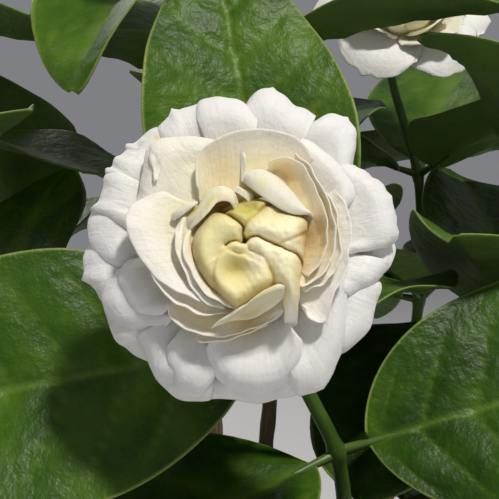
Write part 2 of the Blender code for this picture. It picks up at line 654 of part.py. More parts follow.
def whorl_leaves(branch, obstacles):
    """Leaves of one shoot in whorls, each turned so that it is clear of what stands already."""
    draw = random.Random(branch.name)
    path, ways, marks = branch_path(branch)
    leaves = []
    nodes = marks[branch.split + 1:len(branch.points)]
    if branch.tip == "leaves":
        nodes.append(marks[-1] - 1)
    for number, mark in enumerate(nodes):
        root = path[mark] / MM
        stem = ways[mark]
        level = unit(np.cross(stem, (0.13, 0.21, 0.97)))
        other = np.cross(stem, level)
        for i in range(WHORL):
            turn = branch.turn + 60 * number + 360 * i / WHORL + draw.uniform(-8, 8)
            pitch = draw.uniform(56, 70)
            length = LEAF_LENGTH * draw.uniform(0.86, 1.08)
            shape = (draw.uniform(18, 36), draw.uniform(10, 20), draw.uniform(1.0, 2.0), draw.uniform(0, 6),
                     draw.uniform(-4, 4))
            if branch.name == "front" and number > 0:
                continue
            if branch.name == "top" and number == 3 and i == 0:
                continue
            for add_turn, add_pitch, size in TRIES:
                a = math.radians(turn + add_turn)
                b = math.radians(pitch + add_pitch)
                way = (level * math.cos(a) + other * math.sin(a)) * math.sin(b) + stem * math.cos(b)
                face = stem * 0.5 + np.array((0, 0, 0.8)) - way * 0.3
                leaf = Leaf(tuple(root), tuple(way), tuple(face), length * size,
                            length * size * LEAF_WIDTH / LEAF_LENGTH, *shape)
                swollen = leaf_solid(leaf, CLEARANCE / 2, petiole=False)
                if not obstacles.meets(*swollen):
                    obstacles.add(*leaf_solid(leaf, CLEARANCE / 2))
                    leaves.append(leaf)
                    break
    return leaves


def keep_clear(obstacles, outline, place, axis):
    """Adds the body that an outline turns round an axis."""
    points, faces = turned([(r * MM, h * MM) for r, h in outline], BLOOM_SIDES)
    obstacles.add(place_points(points, frame_at(place, axis)), faces)


def plan_leaves():
    """Leaves of every shoot, by its name."""
    obstacles = Obstacles()
    pot = [(0, 0), (POT_BASE_RADIUS, 0), (POT_TOP_RADIUS + 0.002, POT_HEIGHT + 0.001), (0, POT_HEIGHT + 0.001)]
    obstacles.add(*turned(pot, ROUND_SIDES))
    for branch in BRANCHES:
        path, ways, marks = branch_path(branch)
        obstacles.add(*tube(path, ways, [GREEN_RADIUS + 0.0012] * len(path), GREEN_SIDES))
        if branch.tip == "bloom":
            keep_clear(obstacles, BLOOM_ROOM, branch.place, branch.axis)
        elif branch.tip == "buds":
            for place, axis, size in bud_frames(branch):
                keep_clear(obstacles, BUD_ROOM, place, axis)
    keep_clear(obstacles, VIEW_ROOM, FRONT_BLOOM, VIEW_AXIS)
    placed = {branch.name: [] for branch in BRANCHES}
    for name, leaf in [("front", leaf) for leaf in FRONT_LEAVES] + [("top", HANGING_LEAF)]:
        placed[name].append(leaf)
        obstacles.add(*leaf_solid(leaf, CLEARANCE / 2))
    for branch in BRANCHES:
        placed[branch.name] += whorl_leaves(branch, obstacles)
    return placed


def wall_radius(height):
    """Radius of the pot's outer wall, without its collar."""
    slope = (POT_TOP_RADIUS - RIM_PROUD - POT_BASE_RADIUS) / POT_HEIGHT
    return POT_BASE_RADIUS + slope * height


def make_pot(material):
    """Thrown clay pot: straight tapered wall, collar at the rim, and drain holes in the floor."""
    collar = POT_HEIGHT - RIM_DEPTH
    inside = POT_HEIGHT - 0.002
    corner = POT_FLOOR + POT_SLOPE_RADIUS
    profile = [
        (0, 0),
        (POT_BASE_RADIUS - POT_EDGE, 0),
        (POT_BASE_RADIUS, POT_EDGE),
        (wall_radius(collar), collar),
        (wall_radius(collar) + RIM_PROUD, collar + RIM_STEP),
        (POT_TOP_RADIUS, POT_HEIGHT - POT_EDGE),
        (POT_TOP_RADIUS - POT_EDGE, POT_HEIGHT),
        (POT_TOP_RADIUS - RIM_PROUD - POT_WALL + POT_EDGE, POT_HEIGHT),
        (wall_radius(inside) - POT_WALL, inside),
        (wall_radius(corner) - POT_WALL, corner),
        (wall_radius(POT_FLOOR) - POT_WALL - POT_SLOPE_RADIUS, POT_FLOOR),
        (0, POT_FLOOR),
    ]
    pot = add_solid("pot", *turned(profile, ROUND_SIDES), material)
    for i in range(DRAIN_COUNT):
        angle = math.tau * i / DRAIN_COUNT + math.pi / 2
        points, faces = turned([(0, -POT_FLOOR), (DRAIN_RADIUS, -POT_FLOOR), (DRAIN_RADIUS, 2 * POT_FLOOR),
                                (0, 2 * POT_FLOOR)], BLOOM_SIDES)
        drill = add_solid(f"drain_cutter_{i + 1}", points, faces)
        drill.location = (DRAIN_RING * math.cos(angle), DRAIN_RING * math.sin(angle), 0)
        drill.hide_render = True
        drill.display_type = "WIRE"
        cut = pot.modifiers.new(f"Drain {i + 1}", "BOOLEAN")
        cut.object = drill
        cut.operation = "DIFFERENCE"
        cut.solver = "EXACT"
    return pot


def make_soil(material):
    """Potting mix that fills the pot, mounded a little, with a hole for the crown."""
    inside = POT_WALL + GAP
    top = POT_HEIGHT - SOIL_BELOW_RIM
    reach = wall_radius(top) - inside
    corner = POT_FLOOR + POT_SLOPE_RADIUS + 0.001
    hole = CROWN_RADIUS + GAP
    profile = [
        (0, POT_FLOOR + GAP),
        (wall_radius(POT_FLOOR) - inside - POT_SLOPE_RADIUS - 0.0005, POT_FLOOR + GAP),
        (wall_radius(corner) - inside, corner),
        (reach, top),
        (0.75 * reach, top + 0.4 * SOIL_MOUND),
        (0.40 * reach, top + 0.9 * SOIL_MOUND),
        (hole, top + SOIL_MOUND),
        (hole, top + SOIL_MOUND - CROWN_DEPTH),
        (0, top + SOIL_MOUND - CROWN_DEPTH),
    ]
    return add_solid("soil", *turned(profile, ROUND_SIDES), material)


def make_wood(material):
    """The crown that stands in the soil, and the woody part of every branch, fused."""
    top = POT_HEIGHT - SOIL_BELOW_RIM + SOIL_MOUND
    bottom = top - CROWN_DEPTH + GAP
    profile = [(0, bottom), (CROWN_RADIUS, bottom), (CROWN_RADIUS, top),
               (0.8 * CROWN_RADIUS, top + 0.7 * CROWN_RISE), (0.4 * CROWN_RADIUS, top + CROWN_RISE),
               (0, top + CROWN_RISE)]
    crown = add_solid("crown", *turned(profile, BLOOM_SIDES))
    stems = []
    for branch in BRANCHES:
        path, ways, marks = branch_path(branch)
        last = marks[branch.split]
        path, ways = path[:last + 1].copy(), ways[:last + 1]
        path[-1] -= ways[-1] * GAP / 2
        radii = np.linspace(branch.radius * MM, GREEN_RADIUS * 1.15, len(path))
        stems.append(add_solid(branch.name + "_wood", *tube(path, ways, radii, WOOD_SIDES)))
    return fuse("woody_stems", crown, stems, material)


def make_shoot(branch, leaves, material):
    """Green stem, leaves and calyx of one shoot, fused."""
    path, ways, marks = branch_path(branch)
    first = marks[branch.split]
    path, ways = path[first:].copy(), ways[first:]
    path[0] += ways[0] * GAP / 2
    radii = np.linspace(GREEN_RADIUS, PEDICEL_RADIUS, len(path))
    stem = add_solid(branch.name + "_stem", *tube(path, ways, radii, GREEN_SIDES))
    parts = []
    for leaf in leaves:
        points, faces = leaf_solid(leaf, stations=FRONT_STATIONS if leaf in FRONT_LEAVES else LEAF_STATIONS)
        parts.append(add_solid(branch.name + "_leaf", points, faces))
    if branch.tip == "bloom":
        parts.append(calyx_solid(branch.name, frame_at(branch.place, branch.axis), 1.0, BLOOM_SEPALS))
    elif branch.tip == "buds":
        root = np.array(branch.points[-1]) * MM
        for place, axis, size in bud_frames(branch):
            parts.append(calyx_solid(branch.name, frame_at(place, axis), size, BUD_SEPALS))
            end = (place - axis * ((TUBE_LENGTH + CALYX_LENGTH) * size - SEATED)) * MM
            ways_along = np.array([unit(end - root)] * 2)
            radii = (PEDICEL_RADIUS, 0.8 * PEDICEL_RADIUS)
            pedicel = tube(np.array([root, end]), ways_along, radii, GREEN_SIDES)
            parts.append(add_solid(branch.name + "_pedicel", *pedicel))
    return fuse("shoot_" + branch.name, stem, parts, material)


def build():
    clear_scene()
    clay = finish("clay", (0.52, 0.23, 0.12), 0.85)
    earth = finish("potting_mix", (0.06, 0.04, 0.025), 0.95)
    bark = finish("bark", (0.30, 0.22, 0.13), 0.8)
    leaf_green = finish("leaf_green", (0.08, 0.20, 0.03), 0.35)
    petal_white = finish("petal_white", (0.88, 0.85, 0.74), 0.5)
    make_pot(clay)
    make_soil(earth)
    make_wood(bark)
    leaves = plan_leaves()
    for branch in BRANCHES:
        make_shoot(branch, leaves[branch.name], leaf_green)
        if branch.name == "front":
            petals = FRONT_OUTER + FRONT_CUP + FRONT_HEART
            corolla("bloom_front", petals, frame_at(branch.place, branch.axis), petal_white, True)
        elif branch.tip == "bloom":
            corolla("bloom_" + branch.name, side_petals(branch.name), frame_at(branch.place, branch.axis),
                    petal_white, False)
        elif branch.tip == "buds":
            for i, (place, axis, size) in enumerate(bud_frames(branch)):
                bud(f"bud_{branch.name}_{i + 1}", frame_at(place, axis), size, petal_white)


build()
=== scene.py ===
# %% [markdown]
# # A potted jasmine
# The object is a young shrub of double white jasmine in a plain clay pot. Its solids come packed as
# a fixed frame: a pot, soil, woody stems, leafy shoots, buds and blooms. Each of them is replaced
# here by a finer piece of the same form: petals thin enough to let light through, leaves with
# sunken veins, bark, fired clay and crumbly soil. The frame is loaded first.

# %% Load the frame
import json
import math
import random
from typing import NamedTuple

import bmesh
import bpy
import numpy as np
from mathutils import Matrix, Vector
from mathutils.bvhtree import BVHTree

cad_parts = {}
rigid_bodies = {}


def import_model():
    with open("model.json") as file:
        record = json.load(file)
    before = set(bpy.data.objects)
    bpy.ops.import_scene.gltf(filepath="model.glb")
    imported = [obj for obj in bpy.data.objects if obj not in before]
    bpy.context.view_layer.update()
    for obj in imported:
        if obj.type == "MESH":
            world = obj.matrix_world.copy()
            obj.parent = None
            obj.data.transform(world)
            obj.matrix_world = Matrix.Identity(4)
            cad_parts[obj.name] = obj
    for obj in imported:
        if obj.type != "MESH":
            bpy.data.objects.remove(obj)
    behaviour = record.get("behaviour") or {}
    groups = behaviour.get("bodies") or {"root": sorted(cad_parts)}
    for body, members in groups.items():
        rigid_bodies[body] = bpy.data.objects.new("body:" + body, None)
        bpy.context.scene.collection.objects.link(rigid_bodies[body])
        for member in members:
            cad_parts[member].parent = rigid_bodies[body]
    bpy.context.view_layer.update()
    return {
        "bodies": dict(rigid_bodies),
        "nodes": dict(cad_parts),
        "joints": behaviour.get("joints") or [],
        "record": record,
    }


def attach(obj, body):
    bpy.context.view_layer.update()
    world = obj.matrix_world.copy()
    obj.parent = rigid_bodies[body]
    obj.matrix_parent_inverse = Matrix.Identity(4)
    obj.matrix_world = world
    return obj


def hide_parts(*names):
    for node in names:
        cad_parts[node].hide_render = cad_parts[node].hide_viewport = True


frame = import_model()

# %% [markdown]
# ## Units
# Blender counts in metres. A petal is easier to think of in millimetres, so the tables below use
# millimetres and degrees, and MM turns them into metres at the last moment.

# %% Units and sizes
MM = 0.001
GAP = 0.0003
POT_HEIGHT = 0.140
POT_TOP_RADIUS = 0.080
POT_BASE_RADIUS = 0.053
POT_WALL = 0.0065
POT_FLOOR = 0.009
POT_EDGE = 0.0015
POT_SLOPE_RADIUS = 0.004
RIM_STEP = 0.003
RIM_DEPTH = 0.031
RIM_PROUD = 0.0045
DRAIN_RADIUS = 0.005
DRAIN_RING = 0.022
DRAIN_COUNT = 3
SOIL_BELOW_RIM = 0.018
SOIL_MOUND = 0.004
CROWN_DEPTH = 0.022
CROWN_RADIUS = 0.0075
CROWN_RISE = 0.010
ROUND_SIDES = 28
GREEN_SIDES = 5
BLOOM_SIDES = 10
GREEN_RADIUS = 0.0014
PEDICEL_RADIUS = 0.0010
STEM_STEP = 0.018
PETIOLE = 5.0
PETIOLE_HALF = 0.8
LEAF_LENGTH = 62.0
LEAF_WIDTH = 38.0
LEAF_THICKNESS = 0.9
LEAF_STATIONS = (0.06, 0.26, 0.52, 0.80)
LEAF_BASE = 0.62
LEAF_POINT = 0.80
WHORL = 3
CLEARANCE = 1.6
TUBE_LENGTH = 10.0
TUBE_RADIUS = 1.7
CALYX_LENGTH = 4.0
CALYX_RADIUS = 2.7
BLOOM_SEPALS = 8
BUD_SEPALS = 5
SEPAL_LENGTH = 7.5
BLOOM_SEEDS = {"left": 1, "back": 4, "back_right": 4}
BUD_HEAD = ((1.3, -2.0), (3.8, 3.0), (3.1, 7.5), (0, 11.0))
TIP_BUD = 0.85
SIDE_BUDS = ((1, 0.7), (-1, 0.6))
BUD_SPREAD = 0.75
BUD_REACH = 21.0
BUD_ON_BRANCH = 0.8
SEATED = 0.5
FRONT_BLOOM = (0.0, -85.0, 262.0)
FRONT_AXIS = (0.0, -math.cos(math.radians(16)), math.sin(math.radians(16)))
print("bloom in front at", FRONT_BLOOM, "mm")

# %% [markdown]
# ## The camera
# The photograph was taken from close by, a little above the bloom's middle. A long lens at that
# distance shows the bloom as large as in the picture. IMAGE is the picture's side in pixels and
# BLOOM_PIXEL is where the root of the bloom's petals lies in it, so the camera can be placed from
# the bloom outwards. The lens is 85 mm on a 36 mm sensor.

# %% Camera
IMAGE = 499
LENS = 85.0
SENSOR = 36.0
PIXEL_SIZE = 0.0001335  # metres that one pixel covers at the bloom
BLOOM_PIXEL = (241.0, 254.0)
CAMERA_UP = math.radians(4)


def place_camera():
    """Camera that looks at the front bloom from its height, slightly from above."""
    data = bpy.data.cameras.new("camera")
    camera = bpy.data.objects.new("camera", data)
    bpy.context.collection.objects.link(camera)
    data.lens = LENS
    data.sensor_width = SENSOR
    data.clip_start = 0.001
    ahead = Vector((0, math.cos(CAMERA_UP), -math.sin(CAMERA_UP)))
    up = Vector((0, math.sin(CAMERA_UP), math.cos(CAMERA_UP)))
    distance = IMAGE * PIXEL_SIZE * LENS / SENSOR
    middle = IMAGE / 2
    camera.location = (Vector(FRONT_BLOOM) * MM - ahead * distance
                       - Vector((1, 0, 0)) * (BLOOM_PIXEL[0] - middle) * PIXEL_SIZE
                       + up * (BLOOM_PIXEL[1] - middle) * PIXEL_SIZE)
    camera.rotation_mode = "QUATERNION"
    camera.rotation_quaternion = ahead.to_track_quat("-Z", "Y")
    bpy.context.scene.camera = camera
    return camera


camera = place_camera()
print("camera at", [round(v, 3) for v in camera.location])

# %% [markdown]
# ## What a petal, a leaf and a branch are
# Each is a small record. A petal has a middle line, seen from the side, as four points with a
# radius and a height: where it leaves the tube, its knee, its shoulder and its tip. Its width,
# the way it wraps round the heart, and the waves of its rim are numbers. Modelling fifty petals
# by hand would take days; a record of ten numbers for each says the same.

# %% Records
class Petal(NamedTuple):
    """A petal in its bloom's own frame, whose +Z is the bloom's axis."""

    turn: float  # where it stands round the axis
    line: tuple  # four control points of its middle line, each a radius and a height
    width: float
    wrap: float  # how far half its width turns towards the axis
    curl: float = 0.8  # how far its rim bends back
    wave: float = 0.4
    waves: float = 1.2
    phase: float = 0.0
    roll: float = 5.0
    shoulder: float = 0.62  # share of the length where the rounded end starts


class Leaf(NamedTuple):
    """A leaf and its petiole, from the middle of the stem to the tip."""

    root: tuple
    way: tuple  # where it points as it leaves the stem
    face: tuple  # where its upper side faces
    length: float = LEAF_LENGTH
    width: float = LEAF_WIDTH
    droop: float = 25.0
    fold: float = 14.0
    wave: float = 1.6
    phase: float = 0.0
    bend: float = 0.0  # sideways, at the tip


class Branch(NamedTuple):
    """A stem: wood up to the point numbered split, and a green leafy shoot after it."""

    name: str
    points: tuple
    split: int
    radius: float  # of the wood at its root, in mm
    tip: str  # bloom, buds or leaves
    place: tuple  # where the bloom's or the middle bud's petals start
    axis: tuple
    turn: float = 0.0  # of the first whorl


# %% [markdown]
# ## Middle lines of the petals
# Five kinds of line are enough: flat at the back, arched over the back row, open cup, upright
# wall inside the cup, and the domed lobe that closes over the heart.

# %% Middle lines
def back(reach, tip=1.5, rise=3.5):
    """Middle line of a petal that lies flat at the back."""
    return ((2.0, 0.0), (8.0, 0.4), (0.78 * reach, rise), (reach, tip))


def front(reach, tip=3.5, rise=6.5):
    """Middle line of a petal that arches over the back row."""
    return ((2.2, 0.8), (7.0, 2.6), (0.70 * reach, rise), (reach, tip))


def cup(reach, height, knee=9.5, low=2.2):
    """Middle line of a petal of the cup, open at its rim."""
    return ((2.6, 1.6), (knee, low), (0.82 * reach, 0.72 * height), (reach, height))


def wall(reach, height, knee=10.0, low=2.5):
    """Middle line of a petal that stands upright inside the cup."""
    return ((2.6, 2.2), (knee, low), (0.97 * reach, 0.6 * height), (reach, height))


def lobe(belly, height, tip=1.5, low=3.0, down=0.6):
    """Middle line of a petal that closes over the heart."""
    return ((2.2, 2.8), (1.42 * belly, low), (1.30 * belly, height + 2.4), (tip, height - down))

# %% [markdown]
# ## The petals of the other blooms
# The blooms at the sides and at the back follow a rule: rings of petals, each ring with its own
# count, line and spread.

# %% Rings of petals
SIDE_RINGS = (
    (6, 0, front(20.5, 3.0), 19, 20, 1.4),
    (4, 30, cup(14.5, 10.5), 19, 42, 0.8),
    (3, 10, lobe(8.0, 12.4, 1.2), 18, 70, -0.2),
)

print("rings in a side bloom:", len(SIDE_RINGS))

# %% [markdown]
# ## The branches
# A jasmine branch rises as wood and goes over into a green shoot. Leaves stand in whorls of three
# at its joints, and it ends in a bloom, in three buds or in young leaves. Each branch is a short
# list of points that a smooth curve passes through.

# %% Branches and the leaves by the bloom
BRANCHES = (
    Branch("front", ((1, -2, 127), (9, -18, 150), (14, -34, 180), (17, -45, 203), (17.4, -49, 214),
                     (15.5, -55, 228), (6.0, -65, 247)), 3, 4.2, "bloom", FRONT_BLOOM, FRONT_AXIS, 20),
    Branch("top", ((0, 3, 127), (-2, 10, 160), (-6, 10, 200), (-8, 6, 236), (-9, 0, 262), (-9, -8, 290),
                   (-9, -12, 316)), 3, 4.6, "buds", (-7, -16, 346), (0.1, -0.25, 1.0), 0),
    Branch("left", ((-2, 2, 127), (-16, 6, 150), (-28, 6, 180), (-40, 2, 203), (-56, -5, 222),
                    (-72, -12, 238)), 3, 4.0, "bloom", (-92, -24, 252), (-0.78, -0.45, 0.44), 40),
    Branch("right", ((3, 1, 127), (20, 8, 150), (32, 10, 182), (44, 6, 210), (58, 0, 232),
                     (74, -4, 252)), 3, 4.2, "buds", (92, -8, 274), (0.6, -0.15, 0.75), 10),
    Branch("back_left", ((-16, 6, 150), (-24, 22, 175), (-34, 36, 202), (-45, 48, 226), (-56, 60, 250)),
           2, 3.2, "buds", (-64, 70, 276), (-0.35, 0.4, 0.85), 25),
    Branch("back", ((-2, 10, 160), (4, 30, 190), (6, 46, 220), (8, 60, 244), (9, 74, 266)),
           2, 3.2, "bloom", (10, 94, 284), (0.1, 0.80, 0.58), 50),
    Branch("back_right", ((20, 8, 150), (30, 24, 182), (37, 34, 214), (42, 40, 242), (42, 43, 272)),
           2, 3.2, "bloom", (36, 32, 307), (0.05, -0.82, 0.57), 5),
    Branch("front_left", ((9, -18, 150), (-4, -30, 163), (-18, -42, 176), (-36, -56, 192), (-52, -68, 206)),
           2, 3.0, "buds", (-72, -82, 222), (-0.62, -0.45, 0.62), 15),
    Branch("low_left", ((-16, 6, 150), (-30, -2, 160), (-44, -10, 172), (-60, -16, 186)), 1, 2.6, "leaves",
           (-78, -22, 200), (-0.7, -0.25, 0.55), 5),
    Branch("low_back", ((10, 6, 140), (22, 22, 156), (34, 38, 170), (48, 54, 184)), 1, 2.6, "leaves",
           (60, 68, 196), (0.6, 0.6, 0.5), 30),
    Branch("low_right", ((14, 4, 138), (30, -8, 156), (44, -22, 170), (60, -36, 184), (76, -48, 196)),
           2, 3.0, "buds", (98, -62, 210), (0.70, -0.42, 0.55), 35),
)
# Outlines, radius and height, of the room that leaves keep clear of blooms, of buds and before the front bloom
BLOOM_ROOM = ((0, -9), (5, -9), (23, -1.5), (24, 6), (17, 16), (17, 60), (0, 60))
BUD_ROOM = ((0, -9), (5, -9), (6, 8), (0, 12))
VIEW_ROOM = ((0, 4), (27, 4), (36, 90), (0, 90))
VIEW_AXIS = (0, -1, 0.06)
# Leaves of the front shoot that stand by the bloom
FRONT_LEAVES = (
    Leaf((6.0, -65, 247), (-1.0, -0.16, -0.14), (-0.1, -0.86, 0.46), 69, 40, 12, 12, 1.4, 0.6),
    Leaf((6.0, -65, 247), (-0.15, 0.22, 0.97), (0.12, -0.97, 0.22), 64, 33, 16, 14, 1.8, 2.0),
    Leaf((6.0, -65, 247), (0.42, 0.86, 0.20), (-0.1, -0.3, 0.95), 58, 35, 24, 14, 1.6, 4.0),
    Leaf((15.5, -55, 228), (0.92, -0.12, 0.31), (-0.28, -0.80, 0.50), 68, 40, 16, 12, 1.8, 1.0),
    Leaf((15.5, -55, 228), (-0.80, -0.38, -0.30), (-0.35, -0.50, 0.80), 60, 36, 18, 14, 1.6, 3.0),
)
# Leaf of the top shoot that hangs down behind the bloom's left
HANGING_LEAF = Leaf((-9, -12, 316), (-0.37, -0.84, -0.33), (-0.35, -0.30, 0.88), 54, 30, 30, 18, 1.6, 0.4)
# Turn, pitch and size that a leaf tries, in this order, until it is clear of all the others
TRIES = tuple((turn, pitch, size) for size in (1.0, 0.86, 0.72) for pitch in (0, -14, 14, -28, 26)
              for turn in (0, 12, -12, 24, -24, 36, -36))

print("branches:", len(BRANCHES))

# %% [markdown]
# ## Small tools for shape
# Smooth paths, turned bodies and round bars come up again and again. NumPy does the sums for all
# points at once, which is many times faster than a loop over vertices.

# %% Tools for shape
def unit(vector):
    vector = np.array(vector, float)
    return vector / np.linalg.norm(vector)


def ease(value, low, high):
    """Smooth step from 0 at low to 1 at high."""
    share = np.clip((value - low) / (high - low), 0, 1)
    return share * share * (3 - 2 * share)


def turned(profile, sides):
    """Points and faces of a closed body turned round +Z from (radius, height) points."""
    points = []
    rings = []
    for radius, height in profile:
        if radius == 0:
            rings.append([len(points)] * sides)
            points.append((0.0, 0.0, height))
            continue
        rings.append([len(points) + i for i in range(sides)])
        for i in range(sides):
            angle = math.tau * i / sides
            points.append((radius * math.cos(angle), radius * math.sin(angle), height))
    faces = []
    for low, high in zip(rings, rings[1:] + rings[:1]):
        for i in range(sides):
            corners = [low[i], low[(i + 1) % sides], high[(i + 1) % sides], high[i]]
            corners = list(dict.fromkeys(corners))
            if len(corners) > 2:
                faces.append(corners)
    return points, faces


def tube(points, ways, radii, sides):
    """Points and faces of a round bar along a path, with flat ends square to it."""
    side = np.cross(ways[0], (0.0, 0.0, 1.0))
    if np.linalg.norm(side) < 0.2:
        side = np.cross(ways[0], (1.0, 0.0, 0.0))
    verts = []
    for point, way, radius in zip(points, ways, radii):
        side = unit(side - way * np.dot(side, way))
        other = np.cross(way, side)
        for i in range(sides):
            angle = math.tau * i / sides
            verts.append(point + radius * (side * math.cos(angle) + other * math.sin(angle)))
    faces = []
    for ring in range(len(points) - 1):
        for i in range(sides):
            j = (i + 1) % sides
            faces.append((ring * sides + i, ring * sides + j, (ring + 1) * sides + j, (ring + 1) * sides + i))
    last = (len(points) - 1) * sides
    faces.append(tuple(reversed(range(sides))))
    faces.append(tuple(range(last, last + sides)))
    return verts, faces


def path_through(points, step):
    """Smooth path through the points, with the place along it of each point."""
    p = np.array(points, float)
    p = np.vstack([2 * p[0] - p[1], p, 2 * p[-1] - p[-2]])
    path = []
    marks = []
    for a, b, c, d in zip(p[:-3], p[1:-2], p[2:-1], p[3:]):
        marks.append(len(path))
        count = max(1, round(np.linalg.norm(c - b) / step))
        for t in np.arange(count) / count:
            path.append(0.5 * (2 * b + (c - a) * t + (2 * a - 5 * b + 4 * c - d) * t ** 2
                               + (3 * b - a - 3 * c + d) * t ** 3))
    marks.append(len(path))
    path.append(p[-2])
    path = np.array(path)
    ways = np.gradient(path, axis=0)
    return path, ways / np.linalg.norm(ways, axis=1)[:, None], marks


def frame_at(place, axis):
    """Matrix of a bloom's frame: +Z along its axis and +X level."""
    z = Vector(axis).normalized()
    x = Vector((0, 0, 1)).cross(z).normalized()
    y = z.cross(x)
    turn = Matrix((x, y, z)).transposed().to_4x4()
    return Matrix.Translation(Vector(place) * MM) @ turn

# %% [markdown]
# ## Where the leaves stand
# A leaf is a midrib that droops and a half width on each side. Real leaves grow round each other
# towards the light. The rule here does the same in a simple way: a leaf tries its own place in the
# whorl, and turns or tilts a little until it is clear of everything placed before it. Only a
# coarse stand-in for each leaf is needed for that test.

# %% Leaf rules
def place_points(points, frame):
    return [frame @ Vector(p) for p in points]


def leaf_midrib(leaf, s):
    """Place, way and upward direction of the midrib at share s, negative on the petiole."""
    way = unit(leaf.way)
    face = unit(np.array(leaf.face) - way * np.dot(leaf.face, way))
    side = np.cross(way, face)
    k = np.linspace(-PETIOLE / leaf.length, 1, 121)
    angle = math.radians(leaf.droop) * np.clip(k, 0, 1) ** 1.2
    ways = np.outer(np.cos(angle), way) - np.outer(np.sin(angle), face)
    steps = (ways[1:] + ways[:-1]) / 2 * (k[1] - k[0]) * leaf.length
    line = np.array(leaf.root) + np.vstack([np.zeros(3), np.cumsum(steps, axis=0)])
    line = line + np.outer(leaf.bend * np.clip(k, 0, 1) ** 2, side)
    s = np.asarray(s, float)
    middle = np.stack([np.interp(s, k, line[:, i]) for i in range(3)], axis=-1)
    angle = np.interp(s, k, angle)[..., None]
    return middle, side, np.cos(angle) * face + np.sin(angle) * way


def leaf_half_width(leaf, s):
    """Half the blade's width: broad below the middle, with a short drawn-out tip."""
    s = np.clip(s, 0, 1)
    shape = s ** LEAF_BASE * (1 - s) ** LEAF_POINT
    widest = LEAF_BASE / (LEAF_BASE + LEAF_POINT)
    return 0.5 * leaf.width * shape / (widest ** LEAF_BASE * (1 - widest) ** LEAF_POINT)


def leaf_points(leaf, s, u):
    """Points in mm at share s along the blade and share u, -1 to 1, of its half width."""
    middle, side, up = leaf_midrib(leaf, s)
    across = u * leaf_half_width(leaf, s)
    rise = np.sqrt(across ** 2 + 1.0) - 1.0
    rise = rise * math.sin(math.radians(leaf.fold))
    rise = rise + leaf.wave * u ** 2 * np.sin(math.tau * 1.6 * s + leaf.phase + np.where(u > 0, 1.9, 0.0))
    return middle + across[..., None] * side + rise[..., None] * up


def leaf_solid(leaf, swell=0.0, petiole=True, stations=LEAF_STATIONS):
    """Points and faces of a leaf, four points round at each station from the stem to the tip."""
    stations = np.array(stations)
    thick = 0.5 * LEAF_THICKNESS + swell
    rows = []
    if petiole:
        root, side, up = leaf_midrib(leaf, np.array([-PETIOLE / leaf.length, -0.01]))
        for place, lift in zip(root, up):
            side_step, lift_step = PETIOLE_HALF * side, PETIOLE_HALF * lift
            rows.append([place - side_step, place + lift_step, place + side_step, place - lift_step])
    middle, side, up = leaf_midrib(leaf, stations)
    left = leaf_points(leaf, stations, np.full(len(stations), -1.0))
    right = leaf_points(leaf, stations, np.full(len(stations), 1.0))
    for i in range(len(stations)):
        out = side * swell
        rows.append([left[i] - out, middle[i] + thick * up[i], right[i] + out, middle[i] - thick * up[i]])
    tip = leaf_points(leaf, np.array([1.0]), np.array([0.0]))[0]
    points = [p * MM for row in rows for p in row] + [tip * MM]
    faces = [(0, 1, 2), (0, 2, 3)]
    for r in range(len(rows) - 1):
        a, b = 4 * r, 4 * r + 4
        faces += [(a, b, b + 1), (a, b + 1, a + 1), (a + 1, b + 1, b + 2), (a + 1, b + 2, a + 2)]
        faces += [(a, b + 3, b), (a, a + 3, b + 3), (a + 3, b + 2, b + 3), (a + 3, a + 2, b + 2)]
    a = 4 * (len(rows) - 1)
    faces += [(a, len(points) - 1, a + 1), (a + 1, len(points) - 1, a + 2),
              (a, a + 3, len(points) - 1), (a + 3, a + 2, len(points) - 1)]
    return points, faces


class Obstacles:
    """What is already placed, to keep the next leaf clear of it."""

    def __init__(self):
        self.points = []
        self.faces = []
        self.tree = None

    def add(self, points, faces):
        first = len(self.points)
        self.points += [tuple(p) for p in points]
        self.faces += [tuple(first + int(v) for v in face) for face in faces]
        self.tree = None

    def meets(self, points, faces):
        if self.tree is None:
            self.tree = BVHTree.FromPolygons(self.points, self.faces)
        return bool(self.tree.overlap(BVHTree.FromPolygons([tuple(p) for p in points], faces)))


def branch_path(branch):
    """Path of a branch, its directions, and where its points lie along it."""
    axis = unit(branch.axis)
    if branch.tip == "leaves":
        return path_through(np.array([*branch.points, branch.place]) * MM, STEM_STEP)
    size = 1.0 if branch.tip == "bloom" else BUD_ON_BRANCH
    end = np.array(branch.place) - axis * ((TUBE_LENGTH + CALYX_LENGTH) * size - SEATED)
    points = list(branch.points) + [tuple(end - 5.0 * axis), tuple(end)]
    return path_through(np.array(points) * MM, STEM_STEP)


def bud_frames(branch):
    """Places and axes of the three buds at the end of a shoot."""
    axis = unit(branch.axis)
    middle = np.array(branch.place)
    root = np.array(branch.points[-1])
    frames = [(middle, axis, TIP_BUD)]
    level = unit(np.cross(axis, (0, 0, 1)))
    for sign, size in SIDE_BUDS:
        way = unit(axis + BUD_SPREAD * sign * level + np.array((0, 0, 0.1)))
        frames.append((root + 5.0 * axis + BUD_REACH * way, way, size))
    return frames


